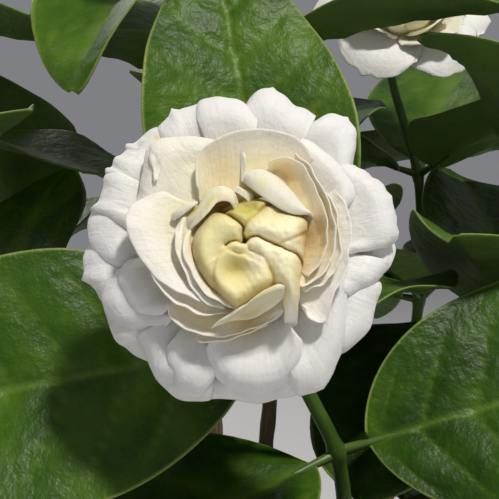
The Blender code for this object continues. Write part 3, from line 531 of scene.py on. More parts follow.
def whorl_leaves(branch, obstacles):
    """Leaves of one shoot in whorls, each turned so that it is clear of what stands already."""
    draw = random.Random(branch.name)
    path, ways, marks = branch_path(branch)
    leaves = []
    nodes = marks[branch.split + 1:len(branch.points)]
    if branch.tip == "leaves":
        nodes.append(marks[-1] - 1)
    for number, mark in enumerate(nodes):
        root = path[mark] / MM
        stem = ways[mark]
        level = unit(np.cross(stem, (0.13, 0.21, 0.97)))
        other = np.cross(stem, level)
        for i in range(WHORL):
            turn = branch.turn + 60 * number + 360 * i / WHORL + draw.uniform(-8, 8)
            pitch = draw.uniform(56, 70)
            length = LEAF_LENGTH * draw.uniform(0.86, 1.08)
            shape = (draw.uniform(18, 36), draw.uniform(10, 20), draw.uniform(1.0, 2.0), draw.uniform(0, 6),
                     draw.uniform(-4, 4))
            if branch.name == "front" and number > 0:
                continue
            if branch.name == "top" and number == 3 and i == 0:
                continue
            for add_turn, add_pitch, size in TRIES:
                a = math.radians(turn + add_turn)
                b = math.radians(pitch + add_pitch)
                way = (level * math.cos(a) + other * math.sin(a)) * math.sin(b) + stem * math.cos(b)
                face = stem * 0.5 + np.array((0, 0, 0.8)) - way * 0.3
                leaf = Leaf(tuple(root), tuple(way), tuple(face), length * size,
                            length * size * LEAF_WIDTH / LEAF_LENGTH, *shape)
                swollen = leaf_solid(leaf, CLEARANCE / 2, petiole=False)
                if not obstacles.meets(*swollen):
                    obstacles.add(*leaf_solid(leaf, CLEARANCE / 2))
                    leaves.append(leaf)
                    break
    return leaves


def keep_clear(obstacles, outline, place, axis):
    """Adds the body that an outline turns round an axis."""
    points, faces = turned([(r * MM, h * MM) for r, h in outline], BLOOM_SIDES)
    obstacles.add(place_points(points, frame_at(place, axis)), faces)


def plan_leaves():
    """Leaves of every shoot, by its name."""
    obstacles = Obstacles()
    pot = [(0, 0), (POT_BASE_RADIUS, 0), (POT_TOP_RADIUS + 0.002, POT_HEIGHT + 0.001), (0, POT_HEIGHT + 0.001)]
    obstacles.add(*turned(pot, ROUND_SIDES))
    for branch in BRANCHES:
        path, ways, marks = branch_path(branch)
        obstacles.add(*tube(path, ways, [GREEN_RADIUS + 0.0012] * len(path), GREEN_SIDES))
        if branch.tip == "bloom":
            keep_clear(obstacles, BLOOM_ROOM, branch.place, branch.axis)
        elif branch.tip == "buds":
            for place, axis, size in bud_frames(branch):
                keep_clear(obstacles, BUD_ROOM, place, axis)
    keep_clear(obstacles, VIEW_ROOM, FRONT_BLOOM, VIEW_AXIS)
    placed = {branch.name: [] for branch in BRANCHES}
    for name, leaf in [("front", leaf) for leaf in FRONT_LEAVES] + [("top", HANGING_LEAF)]:
        placed[name].append(leaf)
        obstacles.add(*leaf_solid(leaf, CLEARANCE / 2))
    for branch in BRANCHES:
        placed[branch.name] += whorl_leaves(branch, obstacles)
    return placed


def wall_radius(height):
    """Radius of the pot's outer wall, without its collar."""
    slope = (POT_TOP_RADIUS - RIM_PROUD - POT_BASE_RADIUS) / POT_HEIGHT
    return POT_BASE_RADIUS + slope * height


leaf_plan = plan_leaves()
print("leaves:", sum(len(leaves) for leaves in leaf_plan.values()))

# %% [markdown]
# ## The form of a petal
# A petal is a middle line that is turned round the bloom's axis and spread sideways: it wraps
# towards the heart, its rim bends back and waves a little, and its end is rounded. The blooms at
# the sides and at the back draw their petals by a rule with a fixed seed.

# %% Petal form
def petal_points(petal, s, u):
    """Points at share s of the way to the petal's end and share u, -1 to 1, of its half width."""
    k = np.linspace(0, 1, 81)
    r0, r1, r2, r3 = np.array(petal.line, float)
    line = (np.outer((1 - k) ** 3, r0) + np.outer(3 * k * (1 - k) ** 2, r1)
            + np.outer(3 * k ** 2 * (1 - k), r2) + np.outer(k ** 3, r3))
    run = np.concatenate([[0], np.cumsum(np.hypot(*np.diff(line, axis=0).T))])
    slope = np.gradient(line, axis=0)
    lean = np.unwrap(np.arctan2(slope[:, 0], slope[:, 1]))
    end = petal.shoulder + (1 - petal.shoulder) * (1 - np.abs(u) ** 2.3) ** 0.5
    along = s * end * run[-1]
    radius, height, lean = (np.interp(along, run, f) for f in (line[:, 0], line[:, 1], lean))
    half = 0.5 * petal.width
    wide = 0.30 + 0.70 * np.sin(np.clip(s / 0.86, 0, 1) * math.pi / 2) ** 1.2
    across = u * half * wide * (1 - 0.10 * ease(s, 0.86, 1.0))
    arc = math.radians(petal.wrap) / half
    side = np.sin(arc * across) / arc
    lift = (1 - np.cos(arc * across)) / arc
    rim = (np.abs(u * ease(s, 0.1, 0.8)) ** 6 + s ** 6) ** (1 / 6)
    lift = lift - petal.curl * ease(rim, 0.70, 1.05)
    lift = lift + petal.wave * ease(s, 0.25, 1.0) * np.sin(math.pi * petal.waves * u + petal.phase)
    roll = math.radians(petal.roll) * ease(s, 0.1, 0.8)
    side, lift = side * np.cos(roll) - lift * np.sin(roll), side * np.sin(roll) + lift * np.cos(roll)
    radius = radius - lift * np.cos(lean)
    height = height + lift * np.sin(lean)
    turn = math.radians(petal.turn)
    return MM * np.stack([radius * math.cos(turn) - side * math.sin(turn),
                          radius * math.sin(turn) + side * math.cos(turn), height], axis=-1)


def side_petals(name):
    """Petals of a bloom that is made by rule."""
    draw = random.Random(f"{name} {BLOOM_SEEDS[name]}")
    petals = []
    for count, first, line, width, wrap, curl in SIDE_RINGS:
        for i in range(count):
            turn = first + 360 * i / count + draw.uniform(-7, 7)
            petals.append(Petal(turn, line, width * draw.uniform(0.92, 1.06), wrap, curl, 0.4, 1.2,
                                draw.uniform(0, 3)))
    return petals

# %% [markdown]
# ## Closed skins from a grid
# A petal is about a third of a millimetre thick. A single sheet of faces would have no thickness
# and no inside, so light could not pass through it as it does through a petal. Here a grid of
# middle points gets an upper and a lower face that meet at the rim. Solidify would do much the
# same, but its rim is square, and a square rim catches the light like cut card.

# %% Pieces from grids
MARKS = ("depth", "rim", "under", "vein", "tone", "along")


class Body:
    """Collects points, faces, finishes and marks, and makes one mesh object of them."""

    def __init__(self):
        self.points = []
        self.faces = []
        self.finishes = []
        self.grain = []
        self.marks = {mark: [] for mark in MARKS}
        self.count = 0

    def add(self, points, faces, finish=0, grain=None, **marks):
        points = np.asarray(points, float).reshape(-1, 3)
        self.points.append(points)
        for face in faces:
            self.faces.append(np.asarray(face, int) + self.count)
            self.finishes.append(np.full(len(face), finish))
        self.grain.append(points / MM if grain is None else np.asarray(grain, float).reshape(-1, 3))
        for mark in MARKS:
            self.marks[mark].append(np.broadcast_to(np.asarray(marks.get(mark, 0.0), float).ravel(),
                                                    len(points)))
        self.count += len(points)

    def make(self, name, materials):
        mesh = bpy.data.meshes.new(name)
        mesh.vertices.add(self.count)
        mesh.vertices.foreach_set("co", np.concatenate(self.points).ravel())
        sizes = np.concatenate([np.full(len(faces), faces.shape[1]) for faces in self.faces])
        mesh.loops.add(int(sizes.sum()))
        mesh.loops.foreach_set("vertex_index", np.concatenate([faces.ravel() for faces in self.faces]))
        mesh.polygons.add(len(sizes))
        mesh.polygons.foreach_set("loop_start", np.concatenate([[0], np.cumsum(sizes)[:-1]]))
        mesh.polygons.foreach_set("material_index", np.concatenate(self.finishes))
        mesh.update(calc_edges=True)
        for mark, values in self.marks.items():
            attribute = mesh.attributes.new(mark, "FLOAT", "POINT")
            attribute.data.foreach_set("value", np.concatenate(values))
        attribute = mesh.attributes.new("grain", "FLOAT_VECTOR", "POINT")
        attribute.data.foreach_set("vector", np.concatenate(self.grain).ravel())
        mesh.shade_smooth()
        for material in materials:
            mesh.materials.append(material)
        piece = bpy.data.objects.new(name, mesh)
        bpy.context.collection.objects.link(piece)
        return piece


def rim_spacing(count):
    """Shares from -1 to 1 that crowd together towards both ends."""
    return np.sin(np.linspace(-math.pi / 2, math.pi / 2, count))


def grid_normals(middle):
    """Normals of a grid of points, from the run of its rows and columns."""
    across = np.gradient(middle, axis=1)
    along = np.gradient(middle, axis=0)
    normal = np.cross(across, along)
    return normal / np.maximum(np.linalg.norm(normal, axis=-1, keepdims=True), 1e-12)


def skin(middle, over, under):
    """Points and faces of a closed blade: over and under are the distances from its middle grid."""
    rows, columns = middle.shape[:2]
    normal = grid_normals(middle)
    upper = middle + over[..., None] * normal
    lower = (middle - under[..., None] * normal)[1:-1, 1:-1]
    upper[[0, -1]] = middle[[0, -1]]
    upper[:, [0, -1]] = middle[:, [0, -1]]
    top = np.arange(rows * columns).reshape(rows, columns)
    bottom = top.copy()
    bottom[1:-1, 1:-1] = rows * columns + np.arange(lower.shape[0] * lower.shape[1]).reshape(lower.shape[:2])
    faces = []
    for grid, step in ((top, 1), (bottom, -1)):
        quads = np.stack([grid[:-1, :-1], grid[:-1, 1:], grid[1:, 1:], grid[1:, :-1]], axis=-1)
        faces.append(quads.reshape(-1, 4)[:, ::step])
    return np.concatenate([upper.reshape(-1, 3), lower.reshape(-1, 3)]), faces


def both_sides(values):
    """Marks of a grid, given to its upper points and then to its inner lower points."""
    return np.concatenate([values.ravel(), values[1:-1, 1:-1].ravel()])


def sides_of(shape):
    """0 on the upper points of a skin and 1 on the lower ones."""
    return np.concatenate([np.zeros(shape[0] * shape[1]), np.ones((shape[0] - 2) * (shape[1] - 2))])


print("marks on every piece:", ", ".join(MARKS))

# %% [markdown]
# ## Materials
# Each finish is a small tree of nodes that ends in Blender's Principled shader. The patterns read
# Object coordinates on what is fired or crumbled, and the piece's own attribute called grain on
# what grew: grain runs along a leaf, a petal or a stem, so the fibres bend with it.

# %% Node tools
class Finish:
    """One material and the few node tools that all the finishes need."""

    def __init__(self, name, roughness, **constants):
        self.material = bpy.data.materials.new(name)
        self.material.use_nodes = True
        self.tree = self.material.node_tree
        self.shader = self.tree.nodes["Principled BSDF"]
        self.shader.inputs["Roughness"].default_value = roughness
        for socket, value in constants.items():
            self.shader.inputs[socket.replace("_", " ")].default_value = value

    def node(self, kind, inputs=(), **settings):
        made = self.tree.nodes.new("ShaderNode" + kind)
        for setting, value in settings.items():
            setattr(made, setting, value)
        for socket, value in dict(inputs).items():
            if isinstance(value, bpy.types.NodeSocket):
                self.tree.links.new(value, made.inputs[socket])
            else:
                made.inputs[socket].default_value = value
        return made

    def place(self, scale=(1, 1, 1), mark=""):
        """Object coordinates, or a mark of the piece, stretched by scale."""
        if mark:
            source = self.node("Attribute", attribute_name=mark).outputs["Vector"]
        else:
            source = self.node("TexCoord").outputs["Object"]
        return self.node("Mapping", {"Vector": source, "Scale": scale}).outputs["Vector"]

    def mark(self, name):
        return self.node("Attribute", attribute_name=name).outputs["Fac"]

    def noise(self, place, scale, detail=3.0, rough=0.55, twist=0.0):
        made = self.node("TexNoise", {"Vector": place, "Scale": scale, "Detail": detail,
                                      "Roughness": rough, "Distortion": twist})
        return made.outputs["Fac"]

    def ramp(self, value, *stops):
        """Colours or greys at rising values."""
        made = self.node("ValToRGB", {"Fac": value})
        points = made.color_ramp.elements
        while len(points) < len(stops):
            points.new(1.0)
        for point, (where, colour) in zip(points, stops):
            point.position = where
            point.color = (*colour, 1) if isinstance(colour, tuple) else (colour, colour, colour, 1)
        return made.outputs["Color"]

    def mix(self, share, first, second, blend="MIX"):
        made = self.node("Mix", data_type="RGBA", blend_type=blend)
        for socket, value in ((0, share), (6, first), (7, second)):
            if isinstance(value, bpy.types.NodeSocket):
                self.tree.links.new(value, made.inputs[socket])
            else:
                made.inputs[socket].default_value = (*value, 1) if isinstance(value, tuple) else value
        return made.outputs[2]

    def math(self, operation, first, second=0.5):
        return self.node("Math", {0: first, 1: second}, operation=operation).outputs[0]

    def set(self, socket, value):
        self.tree.links.new(value, self.shader.inputs[socket])

    def bump(self, height, distance, strength=1.0, under=None):
        inputs = {"Height": height, "Distance": distance, "Strength": strength}
        if under is not None:
            inputs["Normal"] = under
        return self.node("Bump", inputs).outputs["Normal"]


print("node tools ready")

# %% [markdown]
# ## Petal white
# A jasmine petal is white, but no petal looks plain white: light goes through the thin rim and
# comes back yellow from between the inner petals, so the bloom turns ivory and then yellow-green
# towards its heart. The mark called depth says how deep a point lies, and a colour ramp follows
# it: the inner petals' own cream, with that yellow light and the shade of the hollows painted in,
# in olive and brown at its deep end. Subsurface scattering lets some light through. Fine fibres
# run along each petal.

# %% Petal finish
def petal_finish():
    finish = Finish("petal_white", 0.5, Subsurface_Weight=0.35, Subsurface_Scale=0.0016,
                    Subsurface_Radius=(1.0, 0.85, 0.6), IOR=1.36, Sheen_Weight=0.08, Sheen_Roughness=0.45)
    cloud = finish.noise(finish.place((1, 1, 1), "grain"), 0.22, 3)
    shifted = finish.math("ADD", finish.mark("depth"),
                          finish.math("MULTIPLY", finish.math("SUBTRACT", cloud), 0.16))
    # The deep end of this ramp is painted shade of the hollows, over the petals' own cream and yellow-green.
    colour = finish.ramp(shifted, (0.00, (0.88, 0.85, 0.84)), (0.25, (0.89, 0.86, 0.75)),
                         (0.50, (0.88, 0.82, 0.58)), (0.75, (0.80, 0.71, 0.37)), (1.0, (0.60, 0.50, 0.16)))
    # The brown end of the warm ramp is painted shade in the heart's folds and pockets; its light end is the petals'
    # own warm cream.
    warm = finish.ramp(shifted, (0.0, (0.88, 0.84, 0.78)), (0.35, (0.88, 0.77, 0.57)), (0.7, (0.78, 0.60, 0.32)),
                       (1.0, (0.40, 0.23, 0.05)))
    green = finish.ramp(shifted, (0.0, (0.86, 0.86, 0.79)), (0.5, (0.84, 0.82, 0.44)), (1.0, (0.52, 0.50, 0.10)))
    tone = finish.mark("tone")
    colour = finish.mix(finish.node("Clamp", {0: tone}).outputs[0], colour, warm)
    colour = finish.mix(finish.node("Clamp", {0: finish.math("MULTIPLY", tone, -1.0)}).outputs[0], colour, green)
    fibres = finish.noise(finish.place((1.6, 0.12, 1.6), "grain"), 1.0, 4, 0.6)
    streaks = finish.ramp(fibres, (0.32, 0.95), (0.62, 1.0))
    colour = finish.mix(0.5, colour, streaks, "MULTIPLY")
    foot = finish.ramp(finish.mark("along"), (0.0, (0.72, 0.74, 0.38)), (0.28, (1, 1, 1)))
    colour = finish.mix(0.7, colour, foot, "MULTIPLY")
    colour = finish.mix(finish.math("MULTIPLY", finish.mark("rim"), 0.35), colour, (0.91, 0.89, 0.82))
    finish.set("Base Color", colour)
    cells = finish.noise(finish.place((1, 1, 1), "grain"), 6.0, 3)
    waves = finish.noise(finish.place((0.5, 0.9, 1), "grain"), 1.0, 3)
    crepe = finish.noise(finish.place((1.1, 0.5, 1.1), "grain"), 1.0, 4, 0.6, 0.4)
    normal = finish.bump(waves, 0.00030, 0.45)
    normal = finish.bump(crepe, 0.00026, 0.5, normal)
    normal = finish.bump(fibres, 0.00018, 0.45, normal)
    finish.set("Normal", finish.bump(cells, 0.00004, 0.5, normal))
    return finish.material


petal_white = petal_finish()
print("finish:", petal_white.name)

# %% [markdown]
# ## Leaf green
# The upper side of a jasmine leaf is dark and glossy, with paler sunken veins. Its thin margin is
# painted pale, as a highlight where light catches the edge. The lower side is duller and lighter.
# The marks called vein, rim and under carry those places, so one material serves both sides of
# all the leaves.

# %% Leaf and stem finishes
def leaf_finish():
    finish = Finish("leaf_green", 0.4, Subsurface_Weight=0.05, Subsurface_Scale=0.001,
                    Subsurface_Radius=(0.4, 1.0, 0.2), Specular_IOR_Level=0.22)
    cloud = finish.noise(finish.place((1, 1, 1), "grain"), 0.10, 4)
    tone = finish.math("ADD", cloud, finish.math("MULTIPLY", finish.mark("tone"), 0.22))
    colour = finish.ramp(tone, (0.25, (0.010, 0.033, 0.0012)), (0.5, (0.026, 0.074, 0.0025)),
                         (0.78, (0.066, 0.140, 0.006)))
    net = finish.node("TexVoronoi", {"Vector": finish.place((1, 0.8, 1), "grain"), "Scale": 1.1},
                      feature="DISTANCE_TO_EDGE").outputs["Distance"]
    lines = finish.ramp(net, (0.0, 1.0), (0.16, 0.0))
    colour = finish.mix(finish.math("MULTIPLY", lines, 0.05), colour, (0.09, 0.18, 0.02))
    colour = finish.mix(finish.math("MULTIPLY", finish.mark("vein"), 0.55), colour, (0.13, 0.22, 0.03))
    # Painted highlight: the margin is paled where light would catch the leaf's edge.
    colour = finish.mix(finish.math("MULTIPLY", finish.mark("rim"), 0.55), colour, (0.30, 0.38, 0.10))
    pale = finish.mix(0.5, colour, (0.12, 0.20, 0.05))
    colour = finish.mix(finish.mark("under"), colour, pale)
    finish.set("Base Color", colour)
    grain = finish.noise(finish.place((1, 1, 1), "grain"), 3.0, 3)
    gloss = finish.math("ADD", finish.math("MULTIPLY", grain, 0.20), 0.34)
    finish.set("Roughness", finish.math("ADD", gloss, finish.math("MULTIPLY", finish.mark("under"), 0.2)))
    swell = finish.noise(finish.place((1, 1, 1), "grain"), 0.32, 3)
    normal = finish.bump(swell, 0.0012, 0.5)
    normal = finish.bump(lines, -0.00003, 0.3, normal)
    finish.set("Normal", finish.bump(grain, 0.00004, 0.5, normal))
    return finish.material


def stem_finish():
    finish = Finish("stem_green", 0.45, Subsurface_Weight=0.08, Subsurface_Scale=0.0006)
    cloud = finish.noise(finish.place((0.5, 0.5, 0.12), "grain"), 0.8, 4)
    colour = finish.ramp(cloud, (0.3, (0.030, 0.075, 0.008)), (0.55, (0.07, 0.14, 0.018)), (0.8, (0.16, 0.18, 0.04)))
    finish.set("Base Color", colour)
    ribs = finish.noise(finish.place((3, 3, 0.15), "grain"), 1.0, 3)
    finish.set("Normal", finish.bump(ribs, 0.00015, 0.6))
    return finish.material


leaf_green = leaf_finish()
stem_green = stem_finish()
print("finishes:", leaf_green.name, stem_green.name)

# %% [markdown]
# ## Bark, clay and potting mix
# Young jasmine wood is grey-brown and splits lengthwise into fine strips. The pot is plain fired
# clay, uneven in colour, with a pale bloom of salts that damp has drawn to its surface. Potting
# mix is dark, and lighter where it has dried.

# %% Finishes of wood, clay and mix
def bark_finish():
    finish = Finish("bark", 0.85)
    strips = finish.noise(finish.place((1.1, 1.1, 0.10), "grain"), 1.0, 5, 0.65, 0.6)
    cloud = finish.noise(finish.place((0.3, 0.3, 0.08), "grain"), 1.0, 3)
    colour = finish.ramp(strips, (0.30, (0.045, 0.030, 0.018)), (0.48, (0.16, 0.11, 0.065)),
                         (0.66, (0.30, 0.235, 0.155)), (0.85, (0.40, 0.34, 0.25)))
    moss = finish.ramp(cloud, (0.55, 0.0), (0.75, 0.35))
    finish.set("Base Color", finish.mix(moss, colour, (0.12, 0.14, 0.05)))
    fine = finish.noise(finish.place((4, 4, 0.6), "grain"), 1.0, 3)
    normal = finish.bump(strips, 0.0009, 0.8)
    finish.set("Normal", finish.bump(fine, 0.0002, 0.6, normal))
    return finish.material


def clay_finish():
    finish = Finish("clay", 0.85)
    cloud = finish.noise(finish.place(), 14, 5, 0.6)
    fine = finish.noise(finish.place(), 420, 3)
    bands = finish.noise(finish.place((6, 6, 260)), 1.0, 3)
    tone = finish.math("ADD", finish.math("MULTIPLY", cloud, 0.65), finish.math("MULTIPLY", bands, 0.35))
    colour = finish.ramp(tone, (0.36, (0.36, 0.125, 0.055)), (0.50, (0.50, 0.20, 0.095)),
                         (0.64, (0.60, 0.29, 0.155)))
    height = finish.node("SeparateXYZ", {0: finish.node("TexCoord").outputs["Object"]}).outputs["Z"]
    foot = finish.node("MapRange", {0: height, 1: 0.0, 2: 0.06, 3: 0.62, 4: 0.34}).outputs[0]
    bloom = finish.noise(finish.place((1, 1, 0.45)), 34, 6, 0.68, 0.4)
    salts = finish.node("MapRange", {0: bloom, 1: 0.50, 2: 0.74, 3: 0.0, 4: 1.0}).outputs[0]
    salts = finish.math("MULTIPLY", salts, foot)
    colour = finish.mix(salts, colour, (0.70, 0.62, 0.53))
    specks = finish.ramp(fine, (0.68, 0.0), (0.74, 0.5))
    finish.set("Base Color", finish.mix(specks, colour, (0.24, 0.09, 0.045)))
    grit = finish.noise(finish.place(), 900, 2)
    normal = finish.bump(bands, 0.0004, 0.55)
    normal = finish.bump(fine, 0.00035, 0.45, normal)
    finish.set("Normal", finish.bump(grit, 0.00012, 0.5, normal))
    return finish.material


def mix_finish(name, dark, light, scale):
    finish = Finish(name, 0.92)
    cloud = finish.noise(finish.place(), scale, 5, 0.65)
    finish.set("Base Color", finish.ramp(cloud, (0.32, dark), (0.68, light)))
    fine = finish.noise(finish.place(), scale * 6, 4, 0.7)
    finish.set("Normal", finish.bump(fine, 0.0006, 0.9))
    return finish.material


bark = bark_finish()
clay = clay_finish()
potting_mix = mix_finish("potting_mix", (0.012, 0.008, 0.005), (0.060, 0.038, 0.022), 180)
chip_brown = mix_finish("bark_chip", (0.050, 0.024, 0.012), (0.19, 0.105, 0.055), 240)
perlite = mix_finish("perlite", (0.52, 0.50, 0.46), (0.80, 0.79, 0.75), 500)
print("finishes:", bark.name, clay.name, potting_mix.name, chip_brown.name, perlite.name)

# %% [markdown]
# ## Geometry Nodes helpers
# Stems that follow a path, sepals round a cup and crumbs on soil are all repeats, so a small node
# tree makes each of them. A tree is built once with named inputs, set on an object, and turned
# into a plain mesh, because an exported model can't hold live node trees.

# %% Node tree tools
class Tree:
    """A Geometry Nodes tree with named inputs."""

    def __init__(self, name, inputs):
        self.group = bpy.data.node_groups.new(name, "GeometryNodeTree")
        face = self.group.interface
        face.new_socket("Geometry", in_out="INPUT", socket_type="NodeSocketGeometry")
        face.new_socket("Geometry", in_out="OUTPUT", socket_type="NodeSocketGeometry")
        for socket, (kind, value) in inputs.items():
            made = face.new_socket(socket, in_out="INPUT", socket_type="NodeSocket" + kind)
            if value is not None:
                made.default_value = value
        self.start = self.group.nodes.new("NodeGroupInput")

    def node(self, kind, inputs=(), **settings):
        made = self.group.nodes.new(kind)
        for setting, value in settings.items():
            setattr(made, setting, value)
        for socket, value in dict(inputs).items():
            if isinstance(value, bpy.types.NodeSocket):
                self.group.links.new(value, made.inputs[socket])
            else:
                made.inputs[socket].default_value = value
        return made

    def input(self, name):
        return self.start.outputs[name]

    def end(self, geometry, material):
        """Realizes what the tree has made and gives it its material."""
        real = self.node("GeometryNodeRealizeInstances", {"Geometry": geometry})
        done = self.node("GeometryNodeSetMaterial", {"Geometry": real.outputs[0], "Material": material})
        last = self.group.nodes.new("NodeGroupOutput")
        self.group.links.new(done.outputs[0], last.inputs[0])


def grown(host, tree, values, name):
    """Plain mesh object that a tree makes from its host; the host itself is removed."""
    modifier = host.modifiers.new(name, "NODES")
    modifier.node_group = tree.group
    for item in tree.group.interface.items_tree:
        if item.item_type == "SOCKET" and item.in_out == "INPUT" and item.name in values:
            modifier[item.identifier] = values[item.name]
    host.update_tag()
    bpy.context.view_layer.update()
    graph = bpy.context.evaluated_depsgraph_get()
    mesh = bpy.data.meshes.new_from_object(host.evaluated_get(graph), preserve_all_data_layers=True,
                                           depsgraph=graph)
    mesh.name = name
    data = host.data
    curve = isinstance(data, bpy.types.Curve)
    bpy.data.objects.remove(host)
    (bpy.data.curves if curve else bpy.data.meshes).remove(data)
    piece = bpy.data.objects.new(name, mesh)
    bpy.context.collection.objects.link(piece)
    return piece


def join(name, pieces):
    """One object made of several, which keeps their materials."""
    pieces = [piece for piece in pieces if piece is not None]
    with bpy.context.temp_override(active_object=pieces[0], object=pieces[0], selected_objects=pieces,
                                   selected_editable_objects=pieces):
        bpy.ops.object.join()
    pieces[0].name = name
    pieces[0].data.name = name
    return pieces[0]


print("tree tools ready")

# %% [markdown]
# ## The pot
# A plain thrown pot, turned on a wheel from one lump of clay: a tapered wall, a collar at the rim
# that the potter folds over, faint rings where fingers rose with the wheel, and three drain holes
# in the floor. A Screw modifier would turn the profile too; here the same rule adds the rings and
# keeps every edge rounded.

# %% Turned pot
POT_SIDES = 144
RING_DEPTH = 0.00022
RING_HEIGHT = 0.0042


def rounded_profile(corners, radius, steps=5):
    """Profile with each inner corner turned into a small arc."""
    corners = [np.array(corner, float) for corner in corners]
    profile = [corners[0]]
    for before, corner, after in zip(corners, corners[1:], corners[2:]):
        a, b = before - corner, after - corner
        reach = min(radius, 0.45 * np.linalg.norm(a), 0.45 * np.linalg.norm(b))
        start, stop = corner + unit(a) * reach, corner + unit(b) * reach
        for t in np.linspace(0, 1, steps):
            profile.append((1 - t) ** 2 * start + 2 * t * (1 - t) * corner + t ** 2 * stop)
    profile.append(corners[-1])
    return profile


def long_steps(profile, step):
    """The profile with points added along its long stretches."""
    fine = [profile[0]]
    for a, b in zip(profile, profile[1:]):
        count = max(1, math.ceil(np.linalg.norm(b - a) / step))
        fine += [a + (b - a) * i / count for i in range(1, count + 1)]
    return fine


def make_pot():
    collar = POT_HEIGHT - RIM_DEPTH
    inside = POT_HEIGHT - 0.002
    corner = POT_FLOOR + POT_SLOPE_RADIUS
    corners = [
        (0, 0), (POT_BASE_RADIUS, 0), (wall_radius(collar), collar),
        (wall_radius(collar) + RIM_PROUD, collar + RIM_STEP), (POT_TOP_RADIUS, POT_HEIGHT),
        (POT_TOP_RADIUS - RIM_PROUD - POT_WALL, POT_HEIGHT), (wall_radius(corner) - POT_WALL, corner),
        (wall_radius(POT_FLOOR) - POT_WALL - POT_SLOPE_RADIUS, POT_FLOOR), (0, POT_FLOOR),
    ]
    profile = long_steps(rounded_profile(corners, POT_EDGE), 0.0026)
    rings = []
    for radius, height in profile:
        inner = radius > 0.03 and 0.004 < height < POT_HEIGHT - 0.003
        wave = math.sin(math.tau * height / RING_HEIGHT) + 0.6 * math.sin(math.tau * height / (RING_HEIGHT * 2.7) + 1)
        rings.append((max(0.0, radius - RING_DEPTH * (1 + 0.5 * wave) * inner), float(height)))
    points, faces = turned(rings, POT_SIDES)
    pot = plain_object("clay_pot", points, faces, clay)
    for i in range(DRAIN_COUNT):
        angle = math.tau * i / DRAIN_COUNT + math.pi / 2
        profile = [(0, -POT_FLOOR), (DRAIN_RADIUS + 0.0012, -POT_FLOOR), (DRAIN_RADIUS, 0.0012),
                   (DRAIN_RADIUS, POT_FLOOR - 0.001), (DRAIN_RADIUS + 0.001, POT_FLOOR * 2), (0, POT_FLOOR * 2)]
        points, faces = turned(profile, 28)
        shift = Vector((DRAIN_RING * math.cos(angle), DRAIN_RING * math.sin(angle), 0))
        drill = plain_object("drain_cutter", [Vector(p) + shift for p in points], faces, clay)
        cut = pot.modifiers.new("Drain", "BOOLEAN")
        cut.object = drill
        cut.operation = "DIFFERENCE"
        cut.solver = "EXACT"
        apply_modifiers(pot)
        bpy.data.objects.remove(drill)
    pot.data.shade_smooth()
    pot.data.set_sharp_from_angle(angle=math.radians(40))
    return pot


def plain_object(name, points, faces, material):
    mesh = bpy.data.meshes.new(name)
    mesh.from_pydata([tuple(p) for p in points], [], [tuple(int(v) for v in face) for face in faces])
    mesh.materials.append(material)
    mesh.shade_smooth()
    piece = bpy.data.objects.new(name, mesh)
    bpy.context.collection.objects.link(piece)
    return piece


def apply_modifiers(piece):
    bpy.context.view_layer.update()
    graph = bpy.context.evaluated_depsgraph_get()
    old = piece.data
    piece.data = bpy.data.meshes.new_from_object(piece.evaluated_get(graph), depsgraph=graph)
    piece.modifiers.clear()
    bpy.data.meshes.remove(old)


pot = make_pot()
print("pot faces:", len(pot.data.polygons))

# %% [markdown]
# ## The potting mix
# The mix fills the pot to a finger's breadth below the rim and rises a little round the stems. Its
# surface is a field of heights with fine lumps. On it lie crumbs, chips of bark and a few white
# grains of perlite: a node tree scatters a few small shapes over it with a fixed seed.

# %% Soil body
SOIL_SIDES = 120


def soil_height(x, y):
    """Height of the mix over a point of the pot's mouth."""
    top = POT_HEIGHT - SOIL_BELOW_RIM
    reach = wall_radius(top) - POT_WALL - GAP
    share = np.clip(np.hypot(x, y) / reach, 0, 1)
    mound = SOIL_MOUND * np.cos(share * math.pi / 2) ** 1.2
    lumps = np.zeros_like(x)
    draw = random.Random("lumps")
    for size, depth in ((0.021, 0.0010), (0.0095, 0.0006), (0.0042, 0.00035), (0.0021, 0.0002)):
        for _ in range(3):
            angle = draw.uniform(0, math.tau)
            phase = draw.uniform(0, math.tau)
            run = math.tau / size * (x * math.cos(angle) + y * math.sin(angle))
            across = math.tau / size * 1.3 * (y * math.cos(angle) - x * math.sin(angle))
            lumps += depth * np.sin(run + phase + 1.3 * np.sin(0.31 * across)) * np.cos(across + 2 * phase) / 1.7
    return top + mound + lumps - 0.0006


def make_soil():
    top = POT_HEIGHT - SOIL_BELOW_RIM
    inside = POT_WALL + GAP
    corner = POT_FLOOR + POT_SLOPE_RADIUS + 0.001
    reach = wall_radius(top) - inside
    rings = [(0.0, POT_FLOOR + GAP), (wall_radius(POT_FLOOR) - inside - POT_SLOPE_RADIUS - 0.0005, POT_FLOOR + GAP),
             (wall_radius(corner) - inside, corner), (reach - 0.0008, top - 0.006)]
    rings += [(reach * share, None) for share in np.linspace(1, 0, 58)]
    profile = [(radius, 1.0 if height is None else height) for radius, height in rings]
    points, faces = turned(profile, SOIL_SIDES)
    points = np.array(points)
    free = points[:, 2] == 1.0
    points[free, 2] = soil_height(points[free, 0], points[free, 1])
    return plain_object("potting_mix_bed", points, faces, potting_mix)


soil = make_soil()
print("soil faces:", len(soil.data.polygons))

# %% Crumbs, chips and perlite
def lump(name, size, squash, seed):
    """Small uneven stone or chip."""
    draw = random.Random(seed)
    shape = bmesh.new()
    bmesh.ops.create_icosphere(shape, subdivisions=1, radius=size)
    for vertex in shape.verts:
        vertex.co *= draw.uniform(0.72, 1.22)
        vertex.co = Vector((vertex.co.x, vertex.co.y * squash[0], vertex.co.z * squash[1]))
    mesh = bpy.data.meshes.new(name)
    shape.to_mesh(mesh)
    shape.free()
    piece = bpy.data.objects.new(name, mesh)
    bpy.context.collection.objects.link(piece)
    return piece


